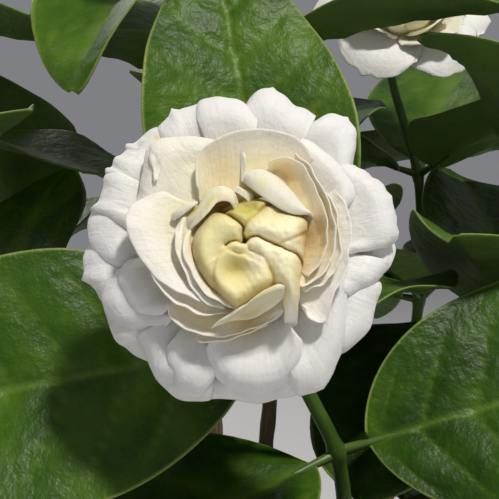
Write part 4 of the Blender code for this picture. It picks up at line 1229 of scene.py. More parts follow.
def scatter_tree():
    """Tree that scatters one small shape over the upward faces of its host."""
    tree = Tree("scatter on the mix", {"Shape": ("Object", None), "Count per square metre": ("Float", 1000.0),
                                       "Smallest": ("Float", 0.6), "Largest": ("Float", 1.3),
                                       "Seed": ("Int", 0), "Material": ("Material", None)})
    normal = tree.node("GeometryNodeInputNormal").outputs[0]
    upward = tree.node("ShaderNodeSeparateXYZ", {0: normal}).outputs["Z"]
    place = tree.node("GeometryNodeInputPosition").outputs[0]
    height = tree.node("ShaderNodeSeparateXYZ", {0: place}).outputs["Z"]
    flat = tree.node("FunctionNodeCompare", {0: upward, 1: 0.5}, operation="GREATER_THAN").outputs[0]
    high = tree.node("FunctionNodeCompare", {0: height, 1: 0.10}, operation="GREATER_THAN").outputs[0]
    both = tree.node("FunctionNodeBooleanMath", {0: flat, 1: high}, operation="AND").outputs[0]
    points = tree.node("GeometryNodeDistributePointsOnFaces",
                       {"Mesh": tree.input("Geometry"), "Selection": both,
                        "Density": tree.input("Count per square metre"), "Seed": tree.input("Seed")})
    turn = tree.node("FunctionNodeRandomValue", {"Min": (-0.5, -0.5, 0.0), "Max": (0.5, 0.5, math.tau)},
                     data_type="FLOAT_VECTOR").outputs[0]
    size = tree.node("FunctionNodeRandomValue", {2: tree.input("Smallest"), 3: tree.input("Largest")},
                     data_type="FLOAT").outputs[1]
    shape = tree.node("GeometryNodeObjectInfo", {"Object": tree.input("Shape")}).outputs["Geometry"]
    copies = tree.node("GeometryNodeInstanceOnPoints",
                       {"Points": points.outputs["Points"], "Instance": shape, "Rotation": turn, "Scale": size})
    tree.end(copies.outputs[0], tree.input("Material"))
    return tree


def scatter(name, shape, count, sizes, seed, material):
    host = bpy.data.objects.new(name + "_host", soil.data.copy())
    bpy.context.collection.objects.link(host)
    made = grown(host, soil_scatter, {"Shape": shape, "Count per square metre": count, "Smallest": sizes[0],
                                      "Largest": sizes[1], "Seed": seed, "Material": material}, name)
    bpy.data.objects.remove(shape)
    return made


soil_scatter = scatter_tree()
litter = [
    scatter("crumbs", lump("crumb", 0.0011, (0.9, 0.75), 1), 42000.0, (0.5, 1.5), 1, potting_mix),
    scatter("clods", lump("clod", 0.0024, (0.85, 0.7), 2), 5200.0, (0.6, 1.4), 2, potting_mix),
    scatter("bark_chips", lump("chip", 0.0052, (0.45, 0.24), 3), 2300.0, (0.5, 1.25), 3, chip_brown),
    scatter("perlite_grains", lump("perlite", 0.0015, (0.9, 0.85), 4), 2600.0, (0.5, 1.3), 4, perlite),
]
print("pieces on the mix:", [(piece.name, len(piece.data.polygons)) for piece in litter])
soil = join("potting_mix_bed", [soil] + litter)

# %% [markdown]
# ## The stems
# Several woody stems rise from one crown and fork. Each is a bar that follows its branch's path,
# thick and gnarled at the root and slim where it turns green. A node tree sweeps a circle along
# the path, takes the thickness from the curve's own radius, and keeps two things for the bark:
# the way round the stem and the way along it.

# %% Stem tree and stems
WOOD_ROUND = 20
GREEN_ROUND = 10


def stem_tree():
    tree = Tree("sweep along a path", {"Sides": ("Int", 12), "Material": ("Material", None)})
    along = tree.node("GeometryNodeSplineParameter").outputs["Length"]
    path = tree.node("GeometryNodeStoreNamedAttribute",
                     {"Geometry": tree.input("Geometry"), "Name": "run", "Value": along},
                     data_type="FLOAT", domain="POINT").outputs[0]
    ring = tree.node("GeometryNodeCurvePrimitiveCircle",
                     {"Resolution": tree.input("Sides"), "Radius": 1.0}).outputs["Curve"]
    place = tree.node("GeometryNodeInputPosition").outputs[0]
    ring = tree.node("GeometryNodeStoreNamedAttribute", {"Geometry": ring, "Name": "round", "Value": place},
                     data_type="FLOAT_VECTOR", domain="POINT").outputs[0]
    radius = tree.node("GeometryNodeInputRadius").outputs[0]
    swept = tree.node("GeometryNodeCurveToMesh", {"Curve": path, "Profile Curve": ring, "Fill Caps": True})
    tree.group.links.new(radius, swept.inputs["Scale"])
    smooth = tree.node("GeometryNodeSetShadeSmooth", {"Geometry": swept.outputs[0]}).outputs[0]
    tree.end(smooth, tree.input("Material"))
    return tree


def swept_stem(name, points, radii, sides, material):
    """Stem along points in metres, with grain that runs along it."""
    curve = bpy.data.curves.new(name, "CURVE")
    curve.dimensions = "3D"
    spline = curve.splines.new("POLY")
    spline.points.add(len(points) - 1)
    for point, place, radius in zip(spline.points, points, radii):
        point.co = (*place, 1)
        point.radius = radius
    host = bpy.data.objects.new(name, curve)
    bpy.context.collection.objects.link(host)
    stem = grown(host, sweep, {"Sides": sides, "Material": material}, name)
    mesh = stem.data
    count = len(mesh.vertices)
    ring = np.zeros(count * 3)
    run = np.zeros(count)
    mesh.attributes["round"].data.foreach_get("vector", ring)
    mesh.attributes["run"].data.foreach_get("value", run)
    grain = ring.reshape(-1, 3) * float(np.mean(radii)) / MM
    grain[:, 2] = run / MM
    attribute = mesh.attributes.new("grain", "FLOAT_VECTOR", "POINT")
    attribute.data.foreach_set("vector", grain.ravel())
    for old in ("round", "run"):
        mesh.attributes.remove(mesh.attributes[old])
    return stem


def fine_path(points, step):
    """Evenly stepped smooth path through points in metres."""
    path, ways, marks = path_through(points, step)
    return path


def branch_line(branch):
    """Fine line of a whole branch, and the place in it where its wood ends."""
    path, ways, marks = branch_path(branch)
    run = np.concatenate([[0], np.cumsum(np.linalg.norm(np.diff(path, axis=0), axis=1))])
    even = np.arange(0, run[-1], 0.0012)
    even = np.append(even, run[-1])
    line = np.stack([np.interp(even, run, path[:, i]) for i in range(3)], axis=1)
    for _ in range(14):
        line[1:-1] = (line[:-2] + 2 * line[1:-1] + line[2:]) / 4
    nodes = [run[mark] for mark in marks]
    return line, even, run[marks[branch.split]], nodes


def gnarl(even, seed, size):
    """Uneven thickness along a stem."""
    draw = random.Random(seed)
    total = np.zeros_like(even)
    for _ in range(4):
        total += np.sin(even / MM * draw.uniform(0.12, 0.9) + draw.uniform(0, 6))
    return 1 + size * total / 2


def make_wood():
    pieces = []
    for branch in BRANCHES:
        line, even, split, nodes = branch_line(branch)
        keep = even <= split + 1e-9
        line, length = line[keep], even[keep]
        radii = branch.radius * MM + (GREEN_RADIUS * 1.15 - branch.radius * MM) * length / split
        radii = radii * gnarl(length, branch.name, 0.07)
        for node in nodes[:branch.split]:
            radii = radii * (1 + 0.22 * np.exp(-((length - node) / 0.0022) ** 2))
        line = line + 0.0003 * np.stack([np.sin(length / 0.0047 + k) for k in range(3)], axis=1)
        pieces.append(swept_stem(branch.name + "_wood", line, radii, WOOD_ROUND, bark))
    top = POT_HEIGHT - SOIL_BELOW_RIM + SOIL_MOUND
    base = np.array([(0, 0, top - CROWN_DEPTH * 0.5), (0, 0, top - 0.004), (0.0003, 0.0002, top + 0.003),
                     (0.0002, 0, top + CROWN_RISE)])
    crown = fine_path(base, 0.0015)
    share = np.linspace(0, 1, len(crown))
    radii = CROWN_RADIUS * (1.0 - 0.55 * share ** 2) * gnarl(share * 0.03, "crown", 0.08)
    pieces.append(swept_stem("crown", crown, radii, 28, bark))
    return join("woody_stems_barked", pieces)


sweep = stem_tree()
wood = make_wood()
print("wood faces:", len(wood.data.polygons))

# %% [markdown]
# ## Leaves
# A jasmine leaf is broad and pointed, with a sunken midrib and six or seven pairs of side veins
# that curve towards the tip. Between the veins the blade is quilted, and its margin waves. Every
# leaf is a closed skin; the leaves beside the bloom get a finer grid than those behind it.

# %% Fine leaves
LEAF_SKIN = 0.40 * MM
PAIRS = 7.5
FINE_GRID = (91, 61)
PLAIN_GRID = (31, 17)


def add_leaf(body, leaf, grid, tone):
    rows, columns = grid
    share = (1 + rim_spacing(rows)) / 2 * 0.993 + 0.002
    s, u = np.meshgrid(share, rim_spacing(columns), indexing="ij")
    middle = leaf_points(leaf, s, u) * MM
    across = u * leaf_half_width(leaf, s)
    half = np.maximum(leaf_half_width(leaf, s), 0.01)
    phase = (s - 0.15 * np.abs(u) ** 1.25 + np.where(u > 0, 0.016, 0.0)) * PAIRS
    near = np.abs(phase - np.round(phase)) / PAIRS * leaf.length
    inner = ease(1 - np.abs(u), 0.03, 0.35) * ease(s, 0.02, 0.10) * ease(1 - s, 0.03, 0.18)
    lateral = np.exp(-(near / 0.42) ** 2) * inner
    swell = np.abs(np.sin(math.pi * phase)) ** 0.8 * inner
    rib = np.exp(-(across / 0.62) ** 2) * ease(1 - s, 0.0, 0.25)
    rise = 0.62 * swell * np.sqrt(np.clip(1 - np.abs(u), 0, 1)) - 0.34 * rib - 0.10 * lateral
    draw = random.Random(f"{leaf.phase:.3f} {leaf.length:.3f}")
    ripple = sum(np.sin(s * draw.uniform(14, 30) + u * draw.uniform(-2, 2) + draw.uniform(0, 6)) for _ in range(3))
    rise = rise + 0.16 * ripple * np.abs(u) ** 2
    normal = grid_normals(middle)
    middle = middle + (rise * MM)[..., None] * normal
    rim = np.minimum((1 - np.abs(u)) * half, (1 - s) * leaf.length)
    thick = 0.5 * LEAF_SKIN * np.sqrt(np.clip(1 - (1 - np.clip(rim / 0.35, 0, 1)) ** 2, 0, 1))
    under = thick + (0.42 * rib + 0.16 * lateral) * MM * np.clip(rim / 0.5, 0, 1)
    points, faces = skin(middle, thick, under)
    vein = np.clip(rib * 1.1 + 0.75 * lateral, 0, 1)
    # Closeness to the margin, which the leaf finish paints pale as a highlight of the edge.
    edge = 1 - ease(rim, 0.12, 0.55)
    grain = np.stack([across, s * leaf.length, np.full_like(s, tone * 40)], axis=-1)
    grain = np.concatenate([grain.reshape(-1, 3), grain[1:-1, 1:-1].reshape(-1, 3)])
    body.add(points, faces, 0, grain, under=sides_of(s.shape), vein=both_sides(vein), rim=both_sides(edge),
             tone=tone, along=both_sides(s))


def petiole(leaf):
    """Short stalk from the stem to the blade, as a swept bar."""
    share = np.linspace(-PETIOLE / leaf.length, 0.10, 12)
    middle, side, up = leaf_midrib(leaf, share)
    radii = np.linspace(1.0, 0.45, 12) * MM
    return middle * MM - up * 0.25 * MM, radii


def make_leaves(branch):
    body = Body()
    draw = random.Random(branch.name + " tones")
    for leaf in leaf_plan[branch.name]:
        fine = leaf in FRONT_LEAVES[:4]
        add_leaf(body, leaf, FINE_GRID if fine else PLAIN_GRID, draw.uniform(-1, 1))
    return body.make(branch.name + "_blades", [leaf_green])


print("grid of a leaf by the bloom:", FINE_GRID, "and of the others:", PLAIN_GRID)

# %% [markdown]
# ## Green shoots
# The young part of a branch is green and ribbed, a little thicker at each joint. A cup of narrow
# pointed sepals sits under each bloom and bud: eight for a double bloom, five for a bud. One sepal
# is modelled, and a node tree sets copies of it round the cup.

# %% Sepals and cups
def sepal_tree():
    tree = Tree("sepals round a cup", {"Sepal": ("Object", None), "Count": ("Int", 8),
                                       "Radius": ("Float", 0.002), "Material": ("Material", None)})
    ring = tree.node("GeometryNodeMeshCircle", {"Vertices": tree.input("Count"), "Radius": tree.input("Radius")})
    index = tree.node("GeometryNodeInputIndex").outputs[0]
    step = tree.node("ShaderNodeMath", {0: math.tau, 1: tree.input("Count")}, operation="DIVIDE").outputs[0]
    angle = tree.node("ShaderNodeMath", {0: index, 1: step}, operation="MULTIPLY").outputs[0]
    turn = tree.node("ShaderNodeCombineXYZ", {"Z": angle}).outputs[0]
    shape = tree.node("GeometryNodeObjectInfo", {"Object": tree.input("Sepal")}).outputs["Geometry"]
    copies = tree.node("GeometryNodeInstanceOnPoints",
                       {"Points": ring.outputs[0], "Instance": shape, "Rotation": turn})
    tree.end(copies.outputs[0], tree.input("Material"))
    return tree


def one_sepal(size):
    """Narrow pointed sepal that leaves the cup's rim at +X and rises along +Z."""
    s, u = np.meshgrid((1 + rim_spacing(13)) / 2, rim_spacing(7), indexing="ij")
    length = SEPAL_LENGTH * size
    half = 0.75 * size * (1 - s) ** 0.7 * (0.75 + 0.6 * s)
    out = 1.4 * size * s ** 1.6 - 0.25 * (1 - u ** 2) * size
    middle = np.stack([out, u * half, s * length - 1.6 * size], axis=-1) * MM
    rim = np.minimum((1 - np.abs(u)) * half, (1 - s) * length)
    thick = 0.16 * MM * size * np.sqrt(np.clip(rim / 0.25, 0, 1))
    points, faces = skin(middle, thick, thick * 1.4)
    body = Body()
    body.add(points, faces, 0, points / MM, along=both_sides(s))
    return body.make("sepal", [stem_green])


def make_cup(name, place, axis, size, sepals):
    """Green cup with its ring of sepals, under a bloom or a bud."""
    top = -TUBE_LENGTH * size
    bottom = top - CALYX_LENGTH * size
    inner = TUBE_RADIUS * size + 0.3
    rim = max(CALYX_RADIUS * size, inner + 0.35)
    profile = [(0, bottom), (0.9 * size, bottom), (1.5 * size, bottom + 0.5 * size), (rim * 0.92, bottom + 1.8 * size),
               (rim, top - 0.8 * size), (rim * 0.98, top + 0.1), (inner, top + 0.1), (inner * 0.9, top - 0.6 * size),
               (0, top - 0.6 * size)]
    profile = rounded_profile(profile, 0.8 * size, 4)
    points, faces = turned([(r * MM, h * MM) for r, h in profile], 24)
    cup_piece = plain_object(name + "_cup", points, faces, stem_green)
    sepal = one_sepal(size)
    host = plain_object(name + "_ring", [(0, 0, 0)], [], stem_green)
    ring = grown(host, sepals_round, {"Sepal": sepal, "Count": sepals, "Radius": rim * 0.9 * MM,
                                      "Material": stem_green}, name + "_sepals")
    bpy.data.meshes.remove(sepal.data)
    for vertex in ring.data.vertices:
        vertex.co.z += top * MM
    piece = join(name + "_cup", [cup_piece, ring])
    piece.data.transform(frame_at(place, axis))
    return piece


sepals_round = sepal_tree()


# %% Shoots
def make_shoot(branch):
    line, even, split, nodes = branch_line(branch)
    keep = even >= split - 1e-9
    line, length = line[keep], even[keep]
    share = (length - length[0]) / (length[-1] - length[0])
    radii = GREEN_RADIUS + (PEDICEL_RADIUS - GREEN_RADIUS) * share
    for node in nodes[branch.split + 1:len(branch.points)]:
        radii = radii * (1 + 0.40 * np.exp(-((length - node) / 0.0016) ** 2))
    pieces = [make_leaves(branch), swept_stem(branch.name + "_stem", line, radii, GREEN_ROUND, stem_green)]
    for leaf in leaf_plan[branch.name]:
        pieces.append(swept_stem(branch.name + "_petiole", *petiole(leaf), 8, stem_green))
    if branch.tip == "bloom":
        pieces.append(make_cup(branch.name, branch.place, branch.axis, 1.0, BLOOM_SEPALS))
    elif branch.tip == "buds":
        root = np.array(branch.points[-1]) * MM
        for place, axis, size in bud_frames(branch):
            pieces.append(make_cup(branch.name, place, axis, size, BUD_SEPALS))
            end = (place - axis * ((TUBE_LENGTH + CALYX_LENGTH) * size - SEATED)) * MM
            bow = (root + end) / 2 + np.array((0, 0, -0.0008))
            pedicel = fine_path(np.array([root, bow, end]), 0.0012)
            pieces.append(swept_stem("pedicel", pedicel, np.linspace(0.0010, 0.0008, len(pedicel)), 8, stem_green))
    return join("leafy_shoot_" + branch.name, pieces)


shoots = {branch.name: make_shoot(branch) for branch in BRANCHES}
print("shoot faces:", {name: len(piece.data.polygons) for name, piece in shoots.items()})

# %% [markdown]
# ## Fine petals
# Each petal of the frame becomes a thin skin with a finer grid: pleats that run from its foot to
# its rim, a rim that crinkles as it dries, and at most of the ends a small point. Every petal
# draws its own crinkles, so no two are alike.

# %% Fine petals
PETAL_SKIN = 0.24 * MM
SIDE_GRID = (17, 17)


def add_petal(body, petal, frame, grid, depth, seed):
    rows, columns = grid
    draw = random.Random(f"petal {seed}")
    s, u = np.meshgrid((1 + rim_spacing(rows)) / 2, rim_spacing(columns), indexing="ij")
    s = s ** 0.9
    middle = petal_points(petal, s, u)
    normal = grid_normals(middle)
    half = 0.5 * petal.width
    rim = (np.abs(u * ease(s, 0.1, 0.8)) ** 6 + s ** 6) ** (1 / 6)
    pleats = sum(np.sin(u * draw.uniform(4, 11) + s * draw.uniform(-1.5, 1.5) + draw.uniform(0, 6)) for _ in range(4))
    frill = sum(np.sin(u * draw.uniform(7, 20) + s * draw.uniform(-9, 9) + draw.uniform(0, 6)) for _ in range(4))
    rise = 0.11 * pleats * ease(s, 0.12, 0.6) + 0.17 * frill * ease(rim, 0.72, 1.02)
    middle = middle + (rise * MM)[..., None] * normal
    tip = np.gradient(middle, axis=0)
    tip = tip / np.maximum(np.linalg.norm(tip, axis=-1, keepdims=True), 1e-12)
    point = draw.uniform(-0.12, 0.12)
    mucro = draw.choice((0.0, 0.5, 0.8, 0.9)) * np.exp(-((u - point) / 0.07) ** 2)
    nicks = 0.16 * sum(np.sin(u * draw.uniform(9, 26) + draw.uniform(0, 6)) for _ in range(3))
    middle = middle + ((mucro + nicks) * s ** 10 * MM)[..., None] * tip
    edge = np.minimum((1 - np.abs(u)) * half * (0.3 + 0.7 * s), (1 - s) * 18)
    thick = 0.5 * PETAL_SKIN * np.sqrt(np.clip(1 - (1 - np.clip(edge / 0.30, 0, 1)) ** 2, 0, 1))
    points, faces = skin(middle, thick, thick)
    points = points @ np.array(frame.to_3x3()).T + np.array(frame.translation)
    grain = np.stack([u * half, s * 20, np.full_like(s, draw.uniform(0, 90))], axis=-1)
    grain = np.concatenate([grain.reshape(-1, 3), grain[1:-1, 1:-1].reshape(-1, 3)])
    body.add(points, faces, 0, grain, depth=depth, rim=both_sides(1 - ease(edge, 0.1, 1.1)),
             along=both_sides(s), tone=draw.uniform(-0.5, 0.35), under=sides_of(s.shape))


def add_turned(body, profile, frame, sides, **marks):
    """Adds a turned body, such as the tube under a bloom."""
    points, faces = turned([(r * MM, h * MM) for r, h in profile], sides)
    points = np.array(points) @ np.array(frame.to_3x3()).T + np.array(frame.translation)
    quads = [face for face in faces if len(face) == 4]
    threes = [face for face in faces if len(face) == 3]
    body.add(points, [np.array(group) for group in (quads, threes) if group], 0, None, **marks)


CORE = ((6.0, 0.4), (7.6, 2.2), (7.0, 5.0), (4.6, 8.2), (0, 9.2))
# Small petals that only show between the others: count, first angle, line, width, wrap and curl
INNER_RINGS = (
    (5, 15, cup(11.0, 11.2), 12, 46, 0.5),
    (5, 35, lobe(6.2, 11.8, 1.6), 9, 64, 0.3),
    (3, 0, lobe(4.0, 12.4, 0.8), 7, 70, 0.2),
)


def inner_petals(name):
    """Small petals inside a bloom that is made by rule."""
    draw = random.Random(f"inner {name}")
    petals = []
    for count, first, line, width, wrap, curl in INNER_RINGS:
        for i in range(count):
            turn = first + 360 * i / count + draw.uniform(-12, 12)
            petals.append(Petal(turn, line, width * draw.uniform(0.85, 1.1), wrap, curl, 0.6, 1.6, draw.uniform(0, 3)))
    return petals


def make_bloom(name, petals, frame, grid):
    body = Body()
    tube_line = rounded_profile([(0, -TUBE_LENGTH), (TUBE_RADIUS, -TUBE_LENGTH), (TUBE_RADIUS, -2.5), *CORE], 0.8, 4)
    add_turned(body, tube_line, frame, 28, depth=0.9, along=0.3)
    reach = max(petal.line[3][0] for petal in petals)
    for number, petal in enumerate(petals + inner_petals(name)):
        inward = 1 - max(petal.line[2][0], petal.line[3][0]) / reach
        depth = float(np.clip(inward * 0.95, 0.02, 0.6))
        add_petal(body, petal, frame, grid, depth, f"{name} {number}")
    return body.make("petals_" + name, [petal_white])


# %% [markdown]
# ## Petals read from the photograph
# The bloom in front is what the picture is about, so its petals are not left to a rule. Each one
# is a short list of points along its rim: a pixel of the photograph and the height over the
# bloom's base at which the rim runs there. A ray from the camera through the pixel meets that
# height in one place, so the rim is found in space. The petal is then a surface that rises from
# its foot, bends at its knee and ends at that rim, and it is whole from every side.

# %% Rays through the photograph
FRONT_FRAME = frame_at(FRONT_BLOOM, FRONT_AXIS)
PHOTO_REACH = SENSOR / LENS / IMAGE
TO_BLOOM = np.array(FRONT_FRAME.inverted().to_3x3() @ camera.rotation_quaternion.to_matrix())
EYE = np.array(FRONT_FRAME.inverted() @ camera.location) / MM


def photo_places(points):
    """Places in mm, in the front bloom's frame, of points given as pixel x, pixel y and height in mm."""
    points = np.asarray(points, float)
    across = (points[:, 0] - IMAGE / 2) * PHOTO_REACH
    up = (IMAGE / 2 - points[:, 1]) * PHOTO_REACH
    rays = np.stack([across, up, -np.ones(len(points))], axis=1) @ TO_BLOOM.T
    share = (points[:, 2] - EYE[2]) / rays[:, 2]
    return EYE + share[:, None] * rays


def photo_pixels(places):
    """Pixel x and pixel y of places in mm in the front bloom's frame."""
    seen = (np.asarray(places, float) - EYE) @ TO_BLOOM
    return (IMAGE / 2 - seen[..., 0] / seen[..., 2] / PHOTO_REACH, IMAGE / 2 + seen[..., 1] / seen[..., 2] / PHOTO_REACH)


def even_line(points, shares):
    """Points at shares of the length of a smooth line through the given ones."""
    points = np.asarray(points, float)
    p = np.vstack([2 * points[0] - points[1], points, 2 * points[-1] - points[-2]])
    line = []
    for a, b, c, d in zip(p[:-3], p[1:-2], p[2:-1], p[3:]):
        for t in np.arange(16) / 16:
            line.append(0.5 * (2 * b + (c - a) * t + (2 * a - 5 * b + 4 * c - d) * t ** 2
                               + (3 * b - a - 3 * c + d) * t ** 3))
    line = np.array(line + [points[-1]])
    run = np.concatenate([[0], np.cumsum(np.linalg.norm(np.diff(line, axis=0), axis=1))])
    shares = np.asarray(shares) * run[-1]
    return np.stack([np.interp(shares, run, line[:, i]) for i in range(points.shape[1])], axis=-1)


class Traced(NamedTuple):
    """A petal by its rim in the photograph. Points are pixel x, pixel y and height in mm."""

    rim: tuple
    foot: tuple = ()
    knee: tuple = (0.7, 5.0)  # how far out the petal bends, as a share of the way to its rim, and its height there
    # A deeper colour towards the foot is partly the petal's own yellow and partly painted shade of the cup's hollows.
    depth: tuple = (0.0, 0.25)  # colour at the rim and at the foot: 0 is white and 1 is the heart's yellow
    warm: float = 0.0
    spread: float = 2.0
    crinkle: float = 1.0
    tips: tuple = ()  # pixels that small points of the rim reach to
    crest: tuple = ()  # the fold of a petal that curls over the heart, instead of a foot and a knee
    bulge: float = 0.7  # in mm, of the curl between that fold and the rim
    apron: float = 0.0  # in mm, how far the petal slopes outwards below its fold


# %% Petals of the front bloom as traced
TRACED_BACK = (
    Traced(((246, 105, 1.2), (251, 97, 1.4), (260, 90, 1.4), (271, 89, 1.4), (282, 94, 1.4), (294, 105, 1.4),
            (305, 109, 1.2), (316, 116, 1.0)), (262, 210, 0.8), (0.62, 4.8), tips=((273, 87.5),)),
    Traced(((318, 120, 0.8), (328, 115, 1.2), (338, 115, 1.2), (348, 120, 1.2), (355, 129, 1.2), (356, 142, 1.2),
            (354, 156, 1.0), (350, 168, 0.8)), (285, 205, 0.6), (0.62, 4.4), tips=((348, 118),)),
    Traced(((392, 240, 0.2), (396, 250, 0.6), (392, 262, 0.8), (383, 274, 0.8), (368, 284, 0.6)),
           (285, 258, 0.5), (0.66, 3.6)),
    Traced(((379, 279, 0.8), (381, 288, 1.2), (377, 302, 1.2), (374, 314, 1.2), (370, 328, 1.2), (360, 340, 1.2),
            (348, 350, 1.0), (338, 355, 0.6)), (280, 285, 0.6), (0.66, 4.6)),
    Traced(((302, 393, 0.2), (290, 397, 0.4), (275, 400, 0.4), (260, 403.5, 0.4), (245, 402, 0.4), (228, 399, 0.4),
            (210, 399, 0.2)), (248, 300, 0.4), (0.7, 3.4)),
    Traced(((217, 395, 0.0), (208, 400, 0.1), (192, 401.5, 0.2), (178, 399, 0.2), (167, 390, 0.2), (157, 380, 0.2), (150, 368, 0.2)),
           (225, 300, 0.3), (0.7, 3.2)),
    Traced(((150, 362, 0.0), (139, 357.5, 0.2), (127, 349, 0.2), (117, 342, 0.3), (110, 328, 0.3), (106, 316, 0.2),
            (104, 304, 0.0)), (215, 285, 0.3), (0.7, 3.4)),
    Traced(((112, 308, 0.2), (101, 300, 0.6), (95, 289, 0.8), (85, 280.5, 0.8), (84, 272, 0.8), (83, 262, 0.8),
            (86, 250, 0.8), (91, 240, 0.6)), (212, 262, 0.5), (0.68, 4.2), tips=((82, 281),)),
    Traced(((118, 273, 0.8), (106, 265, 1.6), (96, 254, 2.0), (90, 243, 2.0), (87.5, 230, 2.0), (89, 218, 2.0),
            (93, 208, 1.6)), (208, 245, 0.8), (0.66, 5.2)),
    Traced(((128, 233, 2.0), (112, 223, 2.8), (98, 212, 3.0), (93, 207, 2.6), (99, 201, 2.6), (102.5, 190, 2.6),
            (104, 179, 2.4), (109, 172, 2.0)), (208, 228, 1.0), (0.66, 6.0), tips=((90.5, 210.5),)),
    Traced(((106, 176, 1.6), (108, 171, 2.0), (112, 166, 2.2), (115, 158, 2.2), (122, 154, 2.0), (129, 149, 1.6),
            (140, 142, 1.2)), (210, 220, 0.8), (0.66, 5.0), tips=((106, 169.5),)),
    Traced(((127, 156, 0.8), (128, 148, 1.2), (137, 141, 1.2), (146, 133, 1.2), (154, 129, 1.2), (162, 126, 1.0)),
           (216, 212, 0.6), (0.66, 4.2), tips=((126.5, 145.5),)),
    Traced(((156, 134, 1.0), (160, 126, 1.6), (168, 117, 1.8), (176, 111.5, 1.8), (188, 107, 1.8), (198, 104, 1.8),
            (206, 102, 1.4)), (222, 208, 0.8), (0.64, 5.2), tips=((172, 110.5),)),
    Traced(((196, 110, 1.8), (201, 101, 2.4), (213, 97, 2.6), (226, 97.5, 2.6), (237, 100.5, 2.4), (246, 104, 2.2),
            (256, 116, 2.0)), (236, 205, 1.0), (0.64, 6.2)),
)
TRACED_FRONT = (
    Traced(((302, 138, 4.2), (316, 146, 4.2), (330, 157, 4.2), (341, 167, 4.2), (350, 178, 4.2), (355, 190, 4.2),
            (352, 199, 4.0), (345, 205, 3.8)), (280, 222, 2.0), (0.76, 7.2), (0.05, 0.3)),
    Traced(((345, 176, 1.6), (352, 166, 2.4), (366, 173, 2.8), (380, 182, 3.0), (389, 194, 3.0), (394, 208, 3.0),
            (397.5, 226, 3.0), (397, 240, 2.4), (386, 246, 2.2), (368, 249, 2.4), (350, 250, 2.6)),
           (300, 238, 1.2), (0.72, 6.6), crinkle=1.6),
    Traced(((388, 262, 1.4), (382, 276, 1.8), (374, 283, 2.2), (362, 290, 2.6), (350, 296, 2.8)),
           (296, 262, 1.2), (0.70, 6.0)),
    Traced(((350, 264, 3.0), (347, 288, 3.4), (346, 316, 3.2), (344, 340, 2.8), (338, 360, 2.4), (331, 378, 2.0),
            (323, 389, 1.8), (308, 394, 1.6), (297, 396, 1.4), (293, 382, 1.6), (293, 366, 1.8), (292, 350, 2.0)),
           (285, 295, 2.0), (0.62, 6.0), crinkle=1.4),
    Traced(((302, 342, 4.6), (301, 355, 4.0), (297, 368, 3.2), (288, 381, 2.4), (276, 390, 2.0), (260, 394.5, 2.0), (246, 394.5, 2.0),
            (232, 391, 2.2), (220, 381, 2.4), (211, 367, 3.0), (206, 350, 3.6)), (256, 300, 2.0), (0.66, 6.6), crinkle=1.0),
    Traced(((214, 372, 1.8), (209, 386, 1.6), (200, 396, 1.4), (188, 395.5, 1.4), (178, 388, 1.6), (171, 380, 1.8),
            (166, 366, 2.4), (166, 350, 3.0)), (225, 298, 1.6), (0.66, 5.4), crinkle=1.6),
    Traced(((176, 384, 1.0), (168, 383.5, 1.2), (159, 380.5, 1.4), (151, 368, 1.6), (144, 354, 1.6), (137, 340, 1.8),
            (141, 335, 2.2), (155, 334, 2.8)), (216, 292, 1.4), (0.68, 5.0), crinkle=1.6, tips=((174, 384),)),
    Traced(((164, 328, 2.8), (147, 330, 2.4), (130, 328, 2.2), (116, 322, 2.0), (106, 311, 2.0), (102, 298, 2.0),
            (104, 286, 2.2), (112, 277, 2.6), (122, 269, 3.2)), (210, 270, 1.6), (0.70, 5.4), crinkle=1.6),
    Traced(((162, 313, 3.8), (147, 315, 3.6), (134, 312, 3.4), (126, 299, 3.4), (119, 286, 3.6), (119, 275, 3.8),
            (127, 262, 4.2)), (208, 262, 2.0), (0.72, 6.4), crinkle=1.6),
    Traced(((134, 206, 4.4), (139, 192, 4.8), (142, 176, 5.0), (144, 160, 5.2), (148, 147, 5.3), (156, 139, 5.4),
            (168, 137.5, 5.5), (182, 137, 5.6), (196, 136.5, 5.6), (208, 139, 5.6), (218, 144, 5.4)),
           (220, 212, 5.8), (0.62, 6.7), (0.10, 0.45), 0.0, 4.5),
)
